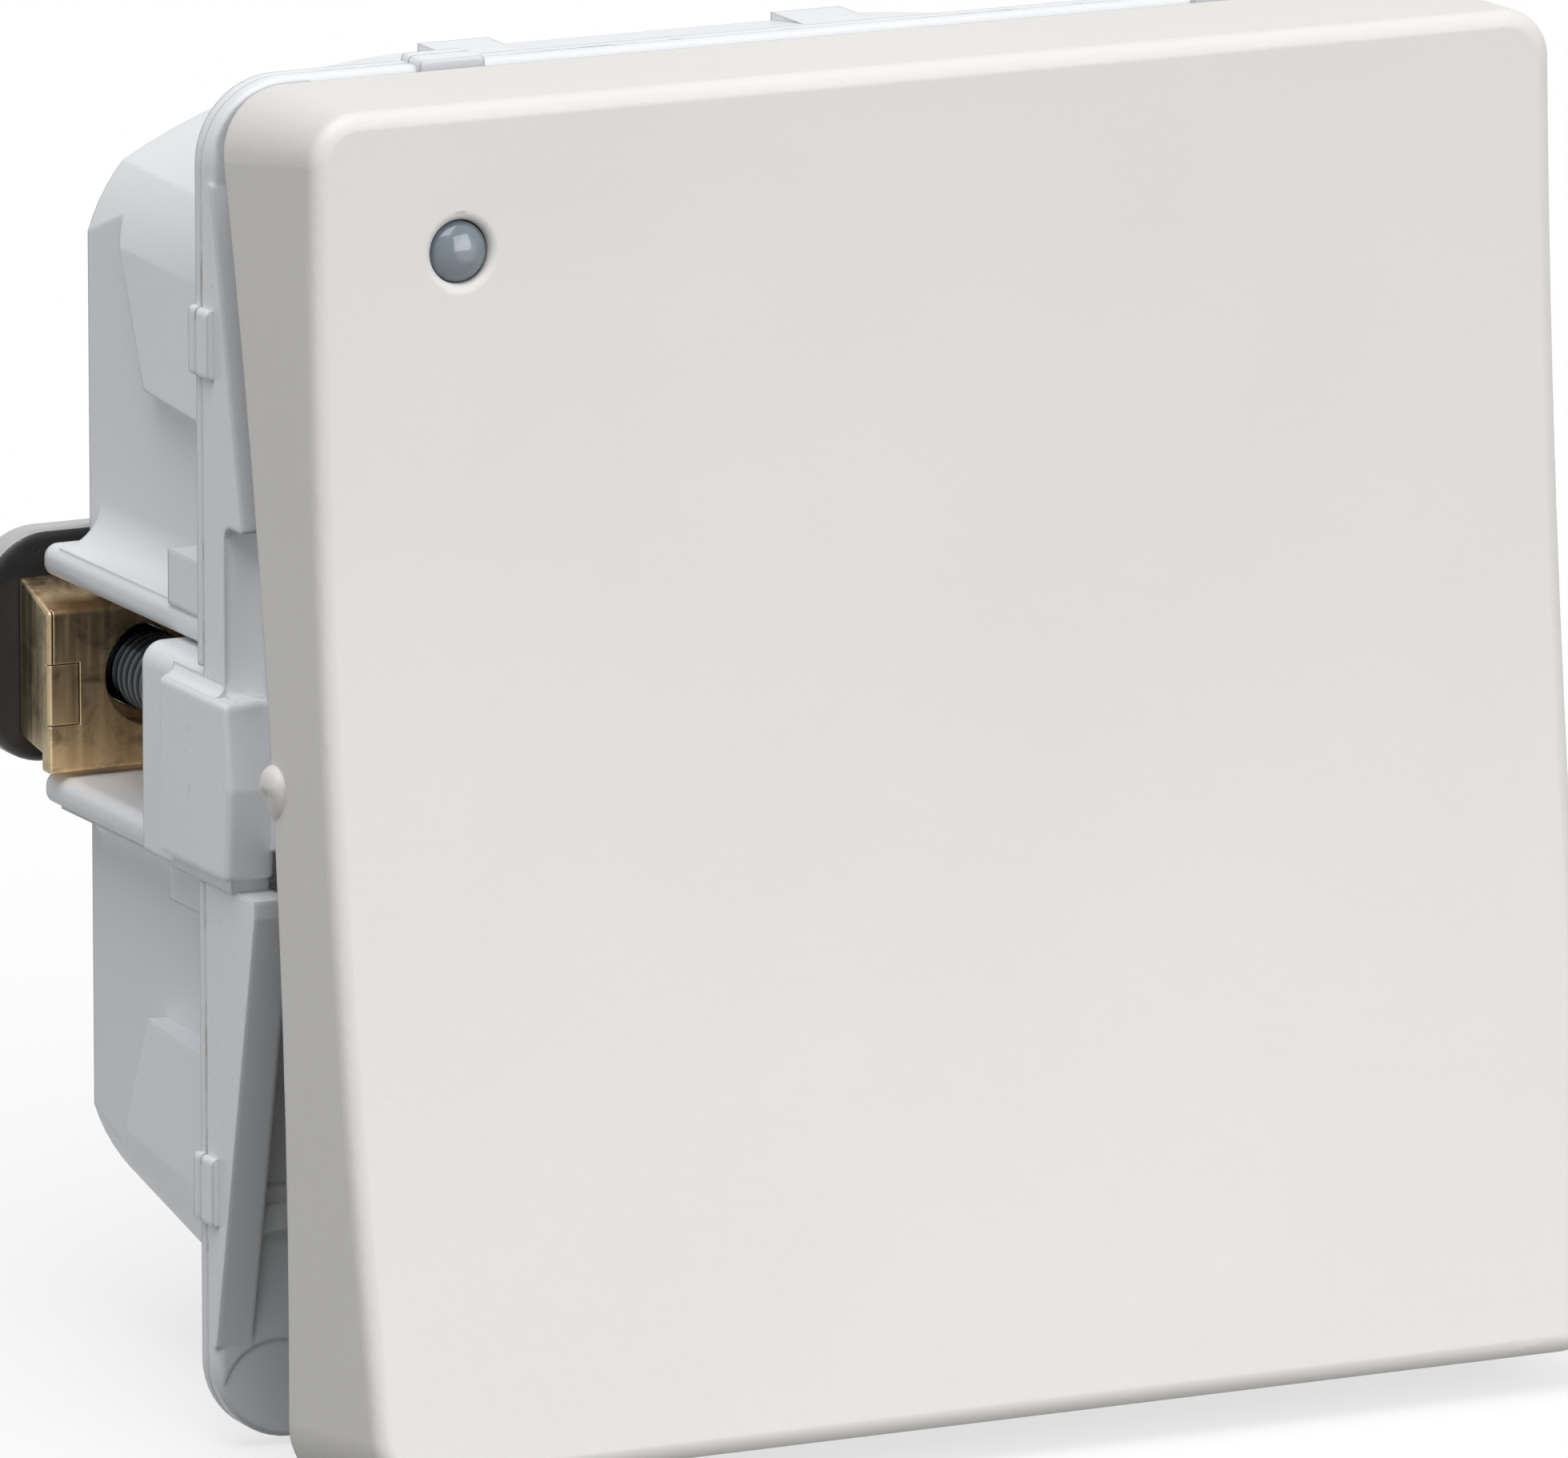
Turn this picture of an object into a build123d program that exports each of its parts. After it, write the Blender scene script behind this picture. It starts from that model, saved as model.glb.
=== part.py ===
from build123d import *
from math import asin, cos, degrees, radians, sin, sqrt
import os

# Two-way light switch, a wall insert of one 50 mm module, in millimetres.
# +X is to the right seen from the front, the front faces -Y, +Z is up.
# The origin is the middle of the flange's rear face, which lies against the wall frame.

# Overall
face_width = 50.0
face_height = 49.7
housing_depth = 16.0      # wall face to the rear of the housing
pivot_ahead = 7.3         # wall face to the rocker's pivot axis
mid_rise = 0.2            # the mechanism's axis above the flange's middle
running_gap = 0.05        # radial, between a pin or thread and its hole

# Rocker
face_ahead = 3.5          # pivot axis to the middle of the face
face_hollow = 1.26        # how far the face is hollow from top to bottom
rim_behind = 0.44         # pivot axis to the middle of the side rim
rim_arch = 1.42           # how far the side rim arches forward at mid-height
side_draft = 0.67
rim_corner = 2.6
face_corner = 1.7
face_edge_round = 0.6
face_wall = 1.5
skirt_wall = 1.1
corner_share = 0.5        # of a wall, by which the corners inside it are tighter
rocker_swing = 12.6       # degrees, stop to stop
stiffener_thickness = 0.9
stiffener_height = 1.2

# Pivot ears, posts and pins
pivot_pin_radius = 0.8
pivot_pin_inset = 0.25    # pin's end short of the rocker's outside
pin_chamfer = 0.25
boss_radius = 1.45        # round the bearing, inside the skirt
boss_tail = 1.7
boss_tail_radius = 0.6
boss_gap = 0.3            # post to boss
ear_radius = 0.75         # what shows of the boss outside the skirt
ear_dome = 0.55
ear_root_radius = 0.6     # of the flat teardrop that the dome stands on
ear_behind = 0.35         # ear's middle behind the pivot axis
ear_above = 0.4
ear_tail = 1.1
ear_tail_radius = 0.35
ear_tail_proud = 0.3
ear_sunk = 0.5            # ear's root inside the skirt's outer face
post_inset = 1.1          # post's outer face inside the side wall's
post_thickness = 0.95
post_half_width = 3.2
post_tip_radius = 1.55

# Flange and base frame
flange_inset = 0.4        # flange's edge inside the finger plate's
flange_corner = 3.0
flange_front = 1.25
seam_ahead = 0.5          # joint between front frame and rear housing
seam_groove = 0.12
flange_edge_round = 0.35
flange_size = face_width - 2 * flange_inset
corner_mark_radius = 2.1
corner_mark_depth = 0.06
corner_mark_x = flange_size / 2 - 2.3
corner_mark_z = flange_size / 2 - 1.6
wall_outer = flange_size / 2
wall_thickness = 1.4
wall_ridge = 4.7
wall_ridge_half = 4.7
wall_foot_half = 21.0
notch_top = 9.0
notch_front = 2.3
notch_round = 0.5
tab_proud = 0.25
tab_from = 14.05
tab_to = 16.55
tab_ahead = 1.5
tab_root = 0.3            # tab's root inside the flange's edge
tab_round = 0.2
post_outer = wall_outer - post_inset
deck_front = 1.0
deck_rear = 2.2
trough_front = 1.0        # floor of the shallow trough between deck well and side wall
trough_half = 15.3
deck_window_x = 3.9
deck_window_z = 4.6
sill_from = 15.9
sill_to = 16.9
sill_proud = 0.3

# Rear housing
housing_wall = 1.3
housing_front_inset = 1.2
housing_front_half = flange_size / 2 - housing_front_inset
housing_front_corner = 6.8
housing_corner_turn = 25.0    # degrees round the front corner where its two arcs meet
side_flare = 1.8          # how far the sides open out towards the flange
crown_flare = 1.8
flat_half = housing_front_half - side_flare
corner_run = 1.4          # the rear outline's corner inside its sides
corner_drop = 3.0         # and below the flats' half width
flat_edge_drop = 5.5
flat_edge = flat_half - flat_edge_drop
corner_x = flat_half - corner_run
corner_z = flat_half - corner_drop
corner_bulge = 0.15
crown_half = 8.7
crown_top = housing_front_half - crown_flare
crown_bulge = 0.75
inside_flat_share = 0.25  # shares of the wall by which the inside's corners stand in
inside_corner_x_share = 0.7
inside_corner_z_share = 0.85
pocket_depth_near = housing_depth - 6.4
pocket_depth_far = housing_depth - 2.9
pocket_near_z = flat_edge - 4.6
pocket_far_z = flat_edge + 1.4
well_gap = 0.2
well_wall = 1.1
well_half_x = flat_half - housing_wall - well_gap - well_wall
well_half_z = 15.0
rib_outer = housing_front_half
rib_thickness = 1.2
rib_round = 0.5
rib_end_round = 0.9
rib_root_round = 1.6
rib_root_overlap = 0.5
pad_depth = 5.2
pad_upper = 1.9
pad_lower = 1.3
crown_rib_from = 5.7
crown_rib_to = 8.5
crown_rib_length = 5.0
crown_rib_height = 1.1
crown_rib_proud = 0.3
divider_thickness = 1.0
divider_from = 7.6
divider_gap = 0.3

# Claw blocks, screws, nuts and plates
claw_inset = 1.9          # screw's axis inside the flat
claw_x = flat_half - claw_inset
claw_screw_radius = 1.5
claw_screw_clearance = 0.1
claw_screw_past = 2.0     # screw's tip past the plate
claw_screw_chamfer = 0.4
claw_head_radius = 2.6
claw_head_height = 2.1
claw_head_seat = 2.0
claw_head_gap = 0.2
claw_slot_width = 0.7
claw_slot_depth = 0.9
channel_half = 3.6
channel_wall = 1.2
channel_reach = 4.2       # screw's axis to the channel's inner wall
channel_inner = claw_x - channel_reach
block_fit = 0.15          # block's sides clear of the channel
block_inner = channel_inner + 0.2
block_rear = 4.8
block_front = 2.1
block_ridge = 2.4
block_ridge_z = -0.6
block_top = 2.5
block_lobe_top = 3.5
block_bottom = 4.05
block_lobe_front = 1.0
block_round = 0.3
lobe_round = 0.8
block_passage = 0.1
nut_width = 8.0
nut_height = 6.8
nut_depth = 2.6
nut_past = 1.2            # how far the nut stands out behind the housing
nut_reach = 4.2           # screw's axis to the nut's outer side
nut_front_drop = 0.85     # the nut's front face stops this far short of its top
nut_lip = 0.7             # thickness of the lip below
nut_lip_height = 0.65
nut_rear_rise = 0.95      # the nut's rear face stops this far above its bottom
nut_edge_round = 0.35
nut_hole_radius = 1.95
nut_hole_depth = 1.2
nut_front = housing_depth + nut_past - nut_depth
plate_reach = 5.6         # screw's axis to the plate's outer edge
plate_tail = 3.8          # screw's axis to the plate's inner edge
plate_top = 5.05
plate_bottom = 3.55
plate_thickness = 1.4
plate_corner = 2.5
plate_hole_gap = 0.15

# Indicator
lens_from_side = 5.9      # lens's axis inside the flange's edges
lens_from_top = 5.6
lens_x = lens_from_side - flange_size / 2
lens_z = flange_size / 2 - lens_from_top
stiffener_x = -lens_x - 4.2   # clear of the lens's collar on both sides
stiffener_z = lens_z - 3.5
lens_radius = 1.15
lens_gap = 0.1
lens_length = 3.2
lens_dome = 0.5
lens_sunk = 0.15
lens_collar = 0.7
lens_seat_gap = 0.25
led_radius = 1.5
led_gap = 0.15
led_tip_ahead = 4.0
board_gap = 0.4
board_width = 5.6
board_height = 4.6
board_thickness = 0.8
board_margin = 1.3
board_corner = 1.2        # cut off, clear of the housing's rounded corner
board_depth = deck_rear + board_gap
board_left = lens_x - board_margin
board_right = board_left + board_width
resistor_radius = 0.9
resistor_length = 4.0
resistor_gap = 0.4        # clear of the neutral strip's end
resistor_drop = 1.2
link_radius = 0.3
link_inset = 1.0
link_reach = 0.8          # link's run beside the board's edge
link_rise = 0.6
link_drop = 2.2
link_slope = 3.8
link_bend = 1.5
link_gap = 0.05

# Terminals
entry_near = 5.6
entry_pitch = 7.4
entry_below_crown = 6.0
entry_z = crown_top - entry_below_crown
entry_radius = 1.7
entry_collar = 2.5
entry_length = 4.3
entry_mouth = 0.5
strip_thickness = 0.8
bar_gap = 0.2             # strips clear of the indicator's board
bar_front = board_depth + board_thickness + bar_gap
entry_gap = 0.3           # strips clear of the entry collars
bar_rear = housing_depth - entry_length - entry_gap
bar_lap = 0.6             # how far the bar stands inside the conductor's edge
bar_z = entry_z + entry_radius - bar_lap
tongue_width = 4.4
bar_end = entry_near + entry_pitch + tongue_width / 2
clamp_thickness = 0.4
clamp_base_drop = 7.3     # clamp's base below the entries' axis
clamp_base_z = entry_z - clamp_base_drop
clamp_bend = 1.4
clamp_front = 4.0
clamp_tip_y = 5.0
clamp_tip_width = 0.35
clamp_tip_gap = 0.1
clamp_rear = housing_depth - entry_length - 0.1
clamp_root_y = clamp_rear - clamp_bend
clamp_web = 0.9           # uncut root that joins the two tongues
lever_width = 4.0
lever_height = 2.6
lever_drop = 4.6          # release lever's middle below the entries' axis
lever_z = entry_z - lever_drop
lever_proud = 0.8
lever_gap = 0.1
lever_round = 0.3
lever_collar = 0.5
lever_collar_length = 1.1
lever_nose_width = 1.8
lever_nose_height = 1.2
lever_nose_drop = 3.0
lever_nose_z = entry_z - lever_nose_drop
lever_nose_gap = 0.15
neutral_inner = 2.1

# Changeover mechanism
gear_up = 2.0             # toggle turns this many times the rocker's angle
toggle_behind = 1.4       # deck to the toggle's axis
toggle_axis = deck_rear + toggle_behind
toggle_nose_radius = 1.0
toggle_neck_half = 0.8
toggle_hub_radius = 2.0
toggle_width = 5.4
toggle_pin_radius = 1.1
toggle_seat = 2.2
toggle_seat_half = 1.7
toggle_spigot = 0.5
fork_gap = 0.1
fork_cheek = 1.1
fork_width = 6.0
fork_chamfer = 0.35
lug_inner = 2.9
lug_thickness = 1.5
lug_depth = 3.2
lug_half = 2.0
lug_round = 1.2
contact_swing = 9.0       # degrees each side of the middle
contact_arm = 6.4
contact_at = 5.2
contact_width = 3.6
contact_round = 0.8
contact_plate_front = 0.6
contact_plate_rear = 0.2
contact_stem = 1.6
contact_stem_radius = 0.8
contact_stem_length = 0.6
contact_shoulder_x = 1.6
contact_shoulder_z = 1.3
contact_pin_radius = 0.45
contact_pin_inset = 0.1
tip_radius = 1.1
tip_height = 0.6
tip_dome = 0.35
tip_gap = 0.05
fixed_tip_height = 0.5
tab_wall_gap = 0.5        # fixed contact's tab clear of the housing's rear wall
leg_gap = 0.9
leg_lap = 2.2             # how much of the bar's depth the leg shares
arm_clearance = 0.5
tab_half = 1.6
common_leg_gap = 0.3
common_leg_lap = 2.8
common_post_behind = 1.4  # lever's axis to the post
common_post_half = 2.0
prong_half = 1.3
prong_ahead = 1.1
spring_wire = 0.2
spring_wire_sides = 6
spring_radius = 1.2
spring_turns = 5
spring_end_gap = 0.08

# Snap hooks that hold the frame and the housing together
hook_x = 11.5
hook_width = 3.0
hook_below_crown = 2.0
hook_z = crown_top - hook_below_crown
hook_thickness = 1.0
hook_reach = 6.4
hook_barb = 0.8
hook_barb_length = 1.6
hook_gap = 0.2

cut_over = 1.0            # how far a cut runs past what it cuts
joined = 0.1              # how far a piece's parts run into each other

toggle_swing = gear_up * rocker_swing / 2
half_swing = rocker_swing / 2


def at_depth(depth):
    return Plane.XZ.offset(-depth)


def slab(sketch, front, rear):
    """A flat outline seen from the front, from one depth to a deeper one."""
    return extrude(at_depth(rear) * sketch, amount=rear - front, dir=(0, -1, 0))


def side_slab(sketch, left, right):
    """An outline of depth against height, from one X to a larger one."""
    return extrude(Plane.YZ.offset(left) * sketch, amount=right - left, dir=(1, 0, 0))


def block(left, right, front, rear, bottom, top):
    size = (right - left, rear - front, top - bottom)
    middle = ((left + right) / 2, (front + rear) / 2, (bottom + top) / 2)
    return Pos(*middle) * Box(*size)


def rod_x(radius, left, right, depth=0.0, height=0.0):
    return Pos((left + right) / 2, depth, height) * Rot(0, 90, 0) * Cylinder(radius, right - left)


def rod_y(radius, front, rear, x=0.0, height=0.0):
    return Pos(x, (front + rear) / 2, height) * Rot(90, 0, 0) * Cylinder(radius, rear - front)


def both_sides(part):
    return part + mirror(part, about=Plane.YZ)


def turned(part):
    """The same piece on the other side, turned half a turn about the depth axis."""
    return Rot(0, 180, 0) * part


def in_corner(part, side, level):
    """A piece of the upper right corner, placed in the corner that side and level name."""
    placed = part
    if side < 0:
        placed = mirror(placed, about=Plane.YZ)
    if level < 0:
        placed = mirror(placed, about=Plane.XY)
    return placed


# Rocker, drawn about its pivot axis and then tipped with its top pressed in
face_end = face_ahead + face_hollow
rim_end = rim_behind + rim_arch
face_chord = face_height / 2 - side_draft
face_arc_radius = (face_chord ** 2 + face_hollow ** 2) / (2 * face_hollow)
rim_arc_radius = ((face_height / 2) ** 2 + rim_arch ** 2) / (2 * rim_arch)
lens_face_depth = -face_ahead - face_hollow * (lens_z / face_chord) ** 2
shell_over = 0.4          # drawn past the face and the rim, then cut back to the arcs


def rocker_outline(depth, inset, corner):
    draft = side_draft * (rim_end - depth) / (rim_end + face_end)
    return at_depth(depth) * RectangleRounded(
        face_width - 2 * (draft + inset), face_height - 2 * (draft + inset), corner)


def rocker_prism(inset):
    rear = rocker_outline(rim_end + shell_over, inset, rim_corner - inset * corner_share)
    front = rocker_outline(-face_end - shell_over, inset, face_corner - inset * corner_share)
    return loft([front, rear], ruled=True)


def face_cylinder(extra):
    radius = face_arc_radius + extra
    return rod_x(radius, -face_width, face_width, depth=-face_ahead - face_arc_radius)


def rim_cylinder():
    return rod_x(rim_arc_radius, -face_width, face_width, depth=rim_behind + rim_arc_radius)


def side_at(depth):
    """Half width of the rocker's outside at a depth."""
    return face_width / 2 - side_draft * (rim_end - depth) / (rim_end + face_end)


fork_radius = (pivot_ahead + toggle_axis) * gear_up / (1 + gear_up)
toggle_nose_at = (pivot_ahead + toggle_axis) / (1 + gear_up)


def rocker_shape():
    outside = rocker_prism(0) - face_cylinder(0) - rim_cylinder()
    face = outside.faces().sort_by(Axis.Y)[0]
    outside = fillet(face.outer_wire().edges(), face_edge_round)
    hollow = rocker_prism(skirt_wall) - face_cylinder(face_wall)
    shell = outside - hollow
    half = stiffener_thickness / 2
    stiffeners = Part()
    for x in (-stiffener_x, stiffener_x):
        stiffeners += block(x - half, x + half, -face_end, rim_end, -face_height / 2, face_height / 2)
    for z in (-stiffener_z, stiffener_z):
        stiffeners += block(-face_width / 2, face_width / 2, -face_end, rim_end, z - half, z + half)
    shell += stiffeners & hollow & face_cylinder(face_wall + stiffener_height)
    cheek = block(-fork_width / 2, fork_width / 2, -face_end, fork_radius + toggle_nose_radius,
                  toggle_nose_radius + fork_gap, toggle_nose_radius + fork_gap + fork_cheek)
    cheek = chamfer(cheek.edges().filter_by(Axis.X).group_by(Axis.Y)[-1], fork_chamfer)
    fork = cheek + mirror(cheek, about=Plane.XY)
    fork -= face_cylinder(face_wall / 2)
    shell += fork
    shell += both_sides(rocker_ear())
    bearing = rod_x(pivot_pin_radius + running_gap, post_outer, side_at(0) - pivot_pin_inset + running_gap)
    shell -= both_sides(bearing)
    shell -= rod_y(lens_radius + lens_gap, -face_end - cut_over, 0, lens_x, lens_z)
    return shell


def teardrop(radius, tail, tail_radius):
    end = Pos(0, -tail) * Circle(tail_radius)
    return make_hull([*Circle(radius).edges(), *end.edges()])


def rocker_ear():
    """The boss round the bearing, and the small domed end of it that stands out of the skirt."""
    skin = side_at(0)
    boss = side_slab(teardrop(boss_radius, boss_tail, boss_tail_radius), post_outer + boss_gap,
                     skin - pivot_pin_inset)
    outline = teardrop(ear_root_radius, ear_tail - ear_tail_radius, ear_tail_radius)
    ear = side_slab(outline, skin - ear_sunk, skin + ear_tail_proud)
    dome_radius = (ear_radius ** 2 + ear_dome ** 2) / (2 * ear_dome)
    dome = Pos(skin + ear_dome - dome_radius, 0, 0) * Sphere(dome_radius)
    return boss + Pos(0, ear_behind, ear_above) * (ear + dome)


def tipped(part):
    """From the rocker's own frame to rest, with the top pressed in."""
    return Pos(0, -pivot_ahead, mid_rise) * Rot(-half_swing, 0, 0) * part


def lens_shape():
    tip = lens_face_depth + lens_sunk
    end = tip + lens_length
    dome_radius = (lens_radius ** 2 + lens_dome ** 2) / (2 * lens_dome)
    stem = rod_y(lens_radius, tip, end, lens_x, lens_z)
    stem &= Pos(lens_x, tip + dome_radius, lens_z) * Sphere(dome_radius) + rod_y(
        lens_radius, tip + lens_dome, end, lens_x, lens_z)
    collar = rod_y(lens_radius + lens_collar, lens_face_depth + face_wall + lens_seat_gap, end, lens_x, lens_z)
    return stem + collar


# Base frame
def edge_tabs(front, rear):
    """Locating tabs on the flange's edges, two on each side."""
    reach = flange_size / 2
    tabs = Part()
    for angle in (0, 90, 180, 270):
        for side in (-1, 1):
            low = min(side * tab_from, side * tab_to)
            tab = block(reach - tab_root, reach + tab_proud, front, rear, low, low + tab_to - tab_from)
            tab = fillet(tab.edges().filter_by(Axis.Y).sort_by(Axis.X)[-2:], tab_round)
            tabs += Rot(0, angle, 0) * tab
    return tabs


def side_wall():
    roof = Polygon(
        (-seam_ahead, -wall_foot_half), (-flange_front, -wall_foot_half),
        (-wall_ridge, -wall_ridge_half), (-wall_ridge, wall_ridge_half),
        (-flange_front, wall_foot_half), (-seam_ahead, wall_foot_half), align=None)
    wall = side_slab(roof, wall_outer - wall_thickness, wall_outer)
    notch = block(wall_outer - wall_thickness - joined, wall_outer + cut_over, -wall_ridge - cut_over,
                  -notch_front, -notch_top, block_bottom)
    notch = fillet(notch.edges().filter_by(Axis.X).group_by(Axis.Y)[-1], notch_round)
    return wall - notch


def claw_block():
    """What the left claw screw turns in: a roof-fronted head, a higher lobe behind it, a body in the channel."""
    roof = Polygon(
        (block_rear, -block_bottom), (block_rear, block_top), (-block_front, block_top),
        (-block_ridge, block_ridge_z), (-block_front, -block_bottom), align=None)
    head = side_slab(roof, flat_half, wall_outer)
    head = fillet(head.edges().filter_by(Axis.Y).sort_by(Axis.Z)[-2:], block_round)
    lobe = block(flat_half, wall_outer, -block_lobe_front, block_rear, 0, block_lobe_top)
    lobe = fillet(lobe.edges().filter_by(Axis.Y).sort_by(Axis.Z)[-2:], lobe_round)
    inner = block(block_inner, flat_half + joined, -block_front, block_rear,
                  -channel_half + block_fit, channel_half - block_fit)
    return mirror(head + lobe + inner, about=Plane.YZ)


def pivot_post():
    tip = Circle(post_tip_radius)
    foot = Pos(pivot_ahead - block_front, 0) * Rectangle(2 * joined, 2 * post_half_width)
    outline = make_hull([*tip.edges(), *foot.edges()])
    post = side_slab(outline, post_outer - post_thickness, post_outer)
    pin = rod_x(pivot_pin_radius, post_outer - joined, side_at(0) - pivot_pin_inset)
    pin = chamfer(pin.edges().sort_by(Axis.X)[-1:], pin_chamfer)
    return Pos(0, -pivot_ahead, mid_rise) * (post + pin)


def toggle_lugs():
    lug = block(lug_inner, lug_inner + lug_thickness, deck_rear - joined, deck_rear + lug_depth,
                mid_rise - lug_half, mid_rise + lug_half)
    lug = fillet(lug.edges().filter_by(Axis.X).group_by(Axis.Y)[-1], lug_round)
    return both_sides(lug)


def snap_hook():
    left = hook_x - hook_width / 2
    outer = hook_z + hook_thickness
    arm = block(left, left + hook_width, -seam_ahead - joined, hook_reach, hook_z, outer)
    barb_front = hook_reach - hook_barb_length
    barb = Polygon((barb_front, outer - joined), (barb_front, outer + hook_barb),
                   (hook_reach, outer - joined), align=None)
    return arm + side_slab(barb, left, left + hook_width)


def hook_window():
    left = hook_x - hook_width / 2 - hook_gap
    return block(left, left + hook_width + 2 * hook_gap, hook_reach - hook_barb_length - hook_gap,
                 hook_reach + hook_gap, hook_z - hook_gap, flange_size / 2)


def hook_passage():
    left = hook_x - hook_width / 2 - hook_gap
    return block(left, left + hook_width + 2 * hook_gap, -seam_ahead - cut_over, joined,
                 hook_z - hook_gap, hook_z + hook_thickness + hook_barb + hook_gap)


def in_all_corners(part):
    upper = both_sides(part)
    return upper + mirror(upper, about=Plane.XY)


def base_frame_shape():
    flange = slab(RectangleRounded(flange_size, flange_size, flange_corner), -flange_front, -seam_ahead)
    rim = flange.faces().sort_by(Axis.Y)[0].edges()
    flange = fillet(rim, flange_edge_round)
    frame = flange + edge_tabs(-tab_ahead, -seam_ahead)
    frame -= in_all_corners(rod_y(corner_mark_radius, -flange_front - cut_over,
                                  -flange_front + corner_mark_depth, corner_mark_x, corner_mark_z))
    frame += slab(Rectangle(2 * (well_half_x + well_wall), 2 * (well_half_z + well_wall)),
                  -seam_ahead - joined, deck_rear)
    sill_reach = wall_outer - wall_thickness
    for level in (-1, 1):
        low = min(level * sill_from, level * sill_to)
        frame += block(-sill_reach, sill_reach, -flange_front - sill_proud, -flange_front + joined,
                       low, low + sill_to - sill_from)
    frame -= slab(Rectangle(2 * well_half_x, 2 * well_half_z), -flange_front - cut_over, deck_front)
    frame -= slab(Rectangle(2 * sill_reach, 2 * trough_half),
                  -flange_front - cut_over, -trough_front)
    frame += side_wall() + turned(side_wall())
    frame += claw_block() + turned(claw_block())
    frame += both_sides(pivot_post())
    frame += toggle_lugs()
    frame += in_all_corners(snap_hook())
    frame -= block(-deck_window_x, deck_window_x, deck_front - cut_over, deck_rear,
                   mid_rise - deck_window_z, mid_rise + deck_window_z)
    frame -= rod_x(toggle_pin_radius + running_gap, -well_half_x / 2, well_half_x / 2, toggle_axis, mid_rise)
    for x in (-claw_x, claw_x):
        frame -= rod_y(claw_screw_radius + claw_screw_clearance, -block_ridge - cut_over,
                       block_rear + cut_over, x)
        frame -= rod_y(claw_head_radius + claw_head_gap, -block_ridge - cut_over, claw_head_seat, x)
    frame -= rod_y(led_radius + led_gap, -block_ridge - cut_over, deck_rear + cut_over, lens_x, lens_z)
    return frame


# Rear housing
def outline_arc(side, level, start, end, bulge):
    """A shallow arc of the housing's outline, bulging outwards, put in the corner of side and level."""
    run = end[0] - start[0]
    rise = end[1] - start[1]
    length = sqrt(run ** 2 + rise ** 2)
    middle = ((start[0] + end[0]) / 2 - bulge * rise / length, (start[1] + end[1]) / 2 + bulge * run / length)
    placed = [(side * x, level * z) for x, z in (start, middle, end)]
    return ThreePointArc(*placed)


def housing_outline(side, corner, top, top_bulge, side_bulge):
    """Sides, corners and crown, from the upper right corner's three points, the same in all four."""
    edges = []
    for level in (1, -1):
        edges.append(Line((-top[0], level * top[1]), (top[0], level * top[1])))
        for half in (1, -1):
            edges.append(outline_arc(half, level, top, corner, top_bulge))
            edges.append(outline_arc(half, level, corner, side, side_bulge))
    for half in (1, -1):
        edges.append(Line((half * side[0], -side[1]), (half * side[0], side[1])))
    return make_face(Wire(edges))


def housing_body(inset, front, rear):
    """The tub's form, flared towards the flange, drawn smaller by the wall for its inside."""
    radius = housing_front_corner - inset
    centre = housing_front_half - housing_front_corner
    turn = radians(housing_corner_turn)
    front_face = housing_outline(
        (centre + radius, centre), (centre + radius * cos(turn), centre + radius * sin(turn)),
        (centre, centre + radius), radius * (1 - cos(radians(90) / 2 - turn / 2)), radius * (1 - cos(turn / 2)))
    rear_face = housing_outline(
        (flat_half - inset, flat_edge - inset * inside_flat_share),
        (corner_x - inset * inside_corner_x_share, corner_z - inset * inside_corner_z_share),
        (crown_half, crown_top - inset), crown_bulge, corner_bulge)
    return loft([at_depth(front) * front_face, at_depth(rear) * rear_face], ruled=True)


def flat_pocket():
    """What is cut away outside the side flats."""
    slope = (pocket_far_z - pocket_near_z) / (pocket_depth_far - pocket_depth_near)
    end_y = housing_depth + cut_over
    end_z = pocket_near_z + slope * (end_y - pocket_depth_near)
    outline = Polygon(
        (0.0, -pocket_near_z), (pocket_depth_near, -pocket_near_z), (end_y, -end_z),
        (end_y, end_z), (pocket_depth_near, pocket_near_z), (0.0, pocket_near_z), align=None)
    return side_slab(outline, flat_half, flange_size / 2)


def guide_rib():
    """The upper rib that the claw nut runs along, with a hollow fillet between its back and the flat."""
    top = channel_half + rib_thickness
    rib = block(flat_half - rib_root_overlap, rib_outer, 0, housing_depth, channel_half, top)
    rib = fillet(rib.edges().filter_by(Axis.Y).sort_by(Axis.X)[-2:], rib_round)
    rib = fillet(rib.edges().filter_by(Axis.Z).sort_by(Axis.Y)[-1:], rib_end_round)
    root = block(flat_half - joined, flat_half + rib_root_round, 0, housing_depth - rib_end_round,
                 top - joined, top + rib_root_round)
    root -= rod_y(rib_root_round, -cut_over, housing_depth, flat_half + rib_root_round, top + rib_root_round)
    return rib + root


def guide_pad(length):
    top = channel_half + rib_thickness
    return block(flat_half - rib_root_overlap, rib_outer, 0, pad_depth, top - joined, top + length)


def claw_channel():
    """Channel walls, ribs and pads on the left side, as seen from the front."""
    reach = channel_half + rib_thickness
    walls = block(channel_inner - channel_wall, flat_half - joined, deck_rear + joined, housing_depth,
                  -reach, reach)
    lower = mirror(guide_rib() + guide_pad(pad_lower), about=Plane.XY)
    return mirror(walls + guide_rib() + guide_pad(pad_upper) + lower, about=Plane.YZ)


def channel_cut():
    """The channel, and the wider passage for the claw block, on the left side."""
    channel = block(channel_inner, flange_size, -seam_ahead - cut_over, housing_depth + cut_over,
                    -channel_half, channel_half)
    passage = block(well_half_x + well_wall - block_passage, flange_size, -seam_ahead - cut_over,
                    block_rear + block_passage, -block_bottom - block_passage, block_lobe_top + block_passage)
    return mirror(channel + passage, about=Plane.YZ)


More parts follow.
